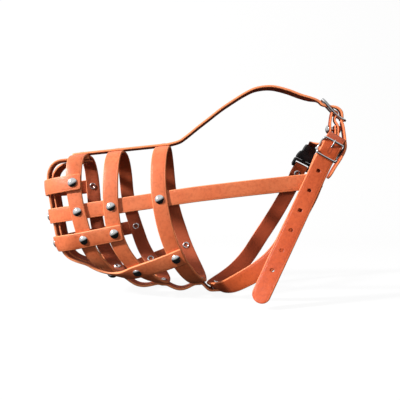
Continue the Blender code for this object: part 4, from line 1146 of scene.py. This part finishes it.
# ---------------------------------------------------------------- buckles
def buckle_corners(fitting, size):
    """Corners of the wire frame, from the front bar along one rail to the rear bar and back."""
    half, front, rear, lift_f, lift_r = size.half, size.front, size.rear, size.lift_f, size.lift_r
    rail = [(-front, half - 2.2, lift_f), (-front + 0.6, half - 0.6, lift_f),
            (-front + 2.2, half, lift_f - 0.2), (-front * 0.5, half, lift_f * 0.36),
            (0, half, 0), (rear * 0.5, half, lift_r * 0.36), (rear - 2.0, half, lift_r - 0.3),
            (rear - 0.5, half - 0.6, lift_r), (rear, half - 2.2, lift_r)]
    return [fitting.at(*q) for q in rail + [(d, -b, n) for d, b, n in rail[::-1]]]


def prong_points(fitting, size):
    """From the hook round the pivot bar to the tip that rests on the front bar."""
    radius = BAR_R + 0.3 + PRONG_R
    tip = size.lift_f + BAR_R + 0.35 + PRONG_R
    hook = [(radius * np.cos(a), radius * np.sin(a))
            for a in np.linspace(np.radians(-150), np.radians(100), 14)]
    rest = [(-size.front * 0.55, max(tip * 0.82, radius + 0.6)), (-size.front + 0.6, tip),
            (-size.front - 1.3, tip - 0.25)]
    return fitting.middle(hook + rest)


def buckle(word, fitting, size):
    frame = tube(round_loop(buckle_corners(fitting, size)), BAR_R + 0.05, 16, loop=True)
    bar = tube([fitting.at(0, b, 0) for b in np.linspace(-size.half, size.half, 24)], BAR_R, 16)
    rides(make(word + "_frame_nickel", *joined([frame, bar]), [NICKEL], sharp=60),
          word + "_frame", "nickel", word + "_buckle_frame")
    line = smooth_path(prong_points(fitting, size), 0.5)
    run = along(line)
    thinning = np.minimum(1.0, 0.62 + (run[-1] - run) * 0.09)
    prong = tube(line, (PRONG_R + 0.05) * thinning, 14)
    rides(make(word + "_prong_nickel", *prong, [NICKEL], sharp=60),
          word + "_prong", "nickel", word + "_buckle_prong")


buckle("neck", NECK, NECK_SIZE)
buckle("crown", CROWN, CROWN_SIZE)


# ---------------------------------------------------------------- clasp
def moulded(piece, body, shape, adds=(), cuts=(), bevel=0.7):
    """A moulded plastic piece: shapes joined and cut, with rounded edges."""
    obj = make(piece + "_moulded", shape[0], shape[1], [PLASTIC])
    tools = [combine(obj, part, "UNION", PLASTIC) for part in adds]
    tools += [combine(obj, part, "DIFFERENCE", PLASTIC) for part in cuts]
    rounding = obj.modifiers.new("bevel", "BEVEL")
    rounding.width, rounding.segments = bevel / 1000, 3
    rounding.limit_method, rounding.angle_limit = "ANGLE", np.radians(32)
    bake(obj, tools)
    obj.data.shade_smooth()
    obj.data.set_sharp_from_angle(angle=np.radians(38))
    rides(obj, body, "clasp_plastic", piece)


def clasp_plug():
    """A block with a slot for the strap, a tapered tongue and a thin strip on each face."""
    half, inner = CLASP_HALF, CLASP_HALF - 2.6
    outline = [(-2.0, -half + 1.5), (-2.0, half - 1.5), (0.5, half), (PLUG_H - 1.2, half),
               (PLUG_H, half - 1.2), (PLUG_H, -half + 1.2), (PLUG_H - 1.2, -half), (0.5, -half)]
    tongue = [(PLUG_H - 1, -2.6), (PLUG_H - 1, 2.6), (PLUG_H + 12, 1.8), (PLUG_H + 12, -1.8)]
    strips = [block((5.6, -half + 1.6, s * 3.2 - 0.5), (7.4, half - 1.6, s * 3.2 + 0.5))
              for s in (-1, 1)]
    moulded("clasp_plug", "harness", plate(CLASP, outline, -3.4, 3.4),
            adds=[plate(CLASP, tongue, -1.4, 1.4)] + strips,
            cuts=[block((1.6, -inner, -6), (5.2, inner, 6)),
                  block((-4, -inner, 1.2), (2.2, inner, 6)),
                  block((-4, -inner, -6), (2.2, inner, -0.9))], bevel=0.55)


# springy arm, a stem with a button that bulges out sideways: along from its root, across
ARM = [(0, 5.4), (0, 7.6), (3.4, 7.9), (6.2, 9.6), (7.6, 8.4), (8.2, 6.4), (5.0, 5.8)]


def clasp_socket():
    """A hollow body, open at the sides for the arms' buttons, with ribs on both faces."""
    low, top, face = SOCKET_LOW, SOCKET_TOP, CLASP_T / 2
    outline = [(0.0, 10.4), (3.0, 10.4), (6.6, 9.6), (8.8, 8.6), (9.6, 7.2),
               (SOCKET_H - 3.0, 6.8), (SOCKET_H - 0.8, 6.4), (SOCKET_H, 5.4)]
    outline = mirrored([(low + a, w) for a, w in outline])
    hollow = mirrored([(low - 2, 9.1), (low + 6.2, 8.6), (low + 8.6, 7.4), (low + 9.4, 5.6),
                       (low + 13.0, 4.8)])
    ribs = [block((low + 10.8 + 1.7 * k, -4.6, s * (face - 0.2)),
                  (low + 11.6 + 1.7 * k, 4.6, s * (face + 0.45)))
            for k in range(3) for s in (-1, 1)]
    moulded("clasp_socket", "socket", plate(CLASP, outline, -face, face), adds=ribs,
            cuts=[plate(CLASP, hollow, -2.6, 2.6),
                  block((low - 2, -CLASP_HALF - 3, -1.9), (low + 7.9, CLASP_HALF + 3, 1.9)),
                  block((top - 3.4, -5.3, -1.0), (top + 2, 5.3, 2.2))])


clasp_plug()
for side, word in ((-1, "front"), (1, "rear")):
    arm = [(ARM_ROOT + a, side * w) for a, w in ARM]
    moulded("clasp_arm_" + word, "arm_" + word, plate(CLASP, arm, -1.5, 1.5), bevel=0.4)
clasp_socket()

# ---------------------------------------------------------------- floor, light and camera
# from here on, lengths are in metres
VIEW_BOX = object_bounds()
MIDDLE = (np.array(VIEW_BOX[0]) + np.array(VIEW_BOX[1])) / 2
SWEEP_Z = float(VIEW_BOX[0][2]) - 0.004       # the floor lies just below the lowest piece
SWEEP_FRONT, SWEEP_BEND, SWEEP_R = -1.2, 0.55, 0.5   # front edge, start and radius of the bend
SWEEP_HALF, SWEEP_H = 2.5, 2.0                # half width and height
scene = bpy.context.scene


def sweep():
    """A plain pale floor that curves up into a backdrop, and lights nothing."""
    profile = [(SWEEP_FRONT, SWEEP_Z), (SWEEP_BEND, SWEEP_Z)]
    profile += [(SWEEP_BEND + SWEEP_R * np.sin(a), SWEEP_Z + SWEEP_R - SWEEP_R * np.cos(a))
                for a in np.linspace(0.08, np.pi / 2, 20)]
    profile.append((SWEEP_BEND + SWEEP_R, SWEEP_Z + SWEEP_H))
    verts = [(x, y, z) for y, z in profile for x in (-SWEEP_HALF, SWEEP_HALF)]
    faces = [(a, a + 1, a + 3, a + 2) for a in range(0, 2 * len(profile) - 2, 2)]
    mesh = bpy.data.meshes.new("floor")
    mesh.from_pydata(verts, [], faces)
    mesh.shade_smooth()
    material, net, shader = new_material("pale floor")
    net.fill(shader, Base_Color=(0.9, 0.9, 0.9), Roughness=0.9, Specular_IOR_Level=0.1)
    glow = net.add("ShaderNodeEmission", Strength=1.0, Color=(1, 1, 1))
    both = net.add("ShaderNodeMixShader")
    glow_share = 0.93
    for index, value in enumerate((glow_share, shader.outputs[0], glow.outputs[0])):
        net.feed(both.inputs[index], value)
    net.fill(net.tree.nodes["Material Output"], Surface=both.outputs[0])
    mesh.materials.append(material)
    obj = bpy.data.objects.new("floor", mesh)
    scene.collection.objects.link(obj)
    obj.visible_diffuse = False
    obj.visible_glossy = False
    return obj


def studio_world():
    """Soft light that fades from the upper front left to the lower right; white to the camera."""
    world = bpy.data.worlds.new("studio")
    scene.world = world
    world.use_nodes = True
    net = Net(world.node_tree)
    background = net.tree.nodes["Background"]
    rays = net.add("ShaderNodeLightPath").outputs
    split = net.add("ShaderNodeSeparateXYZ",
                    Vector=net.add("ShaderNodeTexCoord").outputs["Generated"])
    toward_light = (-0.30, -0.12, 0.55)       # weight of each axis
    part_x, part_y, part_z = (net.calc("MULTIPLY", split.outputs[k], toward_light[k])
                              for k in range(3))
    lit = net.calc("ADD", part_z, net.calc("ADD", part_x, part_y))
    soft = net.spread(lit, low=-0.45, high=0.55, start=0.16, end=1.0)
    # what bright metal sees: a large bright panel above, a dark room below and to the right
    panel = net.spread(lit, low=-0.06, high=0.30, start=0.02, end=2.2)
    colour = net.mix(rays["Is Glossy Ray"], soft, panel)
    white, dim = (1.0, 1.0, 1.0), (0.33, 0.33, 0.33)
    colour = net.mix(rays["Is Camera Ray"], colour, white)
    net.fill(background, Color=colour, Strength=0.62)   # this strength yields to the link below
    net.fill(background, Strength=net.mix(rays["Is Camera Ray"], dim, white))


def lamp(name, offset, energy, size, colour=(1, 1, 1)):
    """An area light at an offset from the middle of the muzzle, aimed at it."""
    data = bpy.data.lights.new(name, "AREA")
    data.energy, data.color = energy, colour
    data.shape, data.size, data.size_y = "RECTANGLE", size[0], size[1]
    obj = bpy.data.objects.new(name, data)
    scene.collection.objects.link(obj)
    place = MIDDLE + offset
    obj.rotation_euler = Vector(MIDDLE - place).to_track_quat("-Z", "Y").to_euler()
    obj.location = place
    return obj


def camera():
    data = bpy.data.cameras.new("camera")
    data.lens, data.sensor_width, data.clip_start = 37.8, 36.0, 0.01
    obj = bpy.data.objects.new("camera", data)
    obj.location = metres((37.5, -450.0, 0.0))
    obj.rotation_euler = (np.pi / 2, 0, 0)
    scene.collection.objects.link(obj)
    scene.camera = obj


sweep()
studio_world()
lamp("key", offset=np.array([-0.82, -0.42, 0.50]) * 1.6, energy=62.0, size=(0.15, 0.15),
     colour=(1.0, 0.985, 0.97))
for fill_light in (lamp("top", offset=(-0.2, -0.2, 1.1), energy=3.0, size=(0.7, 0.5)),
                   lamp("front", offset=(0.1, -1.3, 0.3), energy=3.4, size=(0.9, 0.7))):
    fill_light.visible_glossy = False
camera()
scene.view_settings.view_transform = "Standard"
scene.view_settings.look = "None"
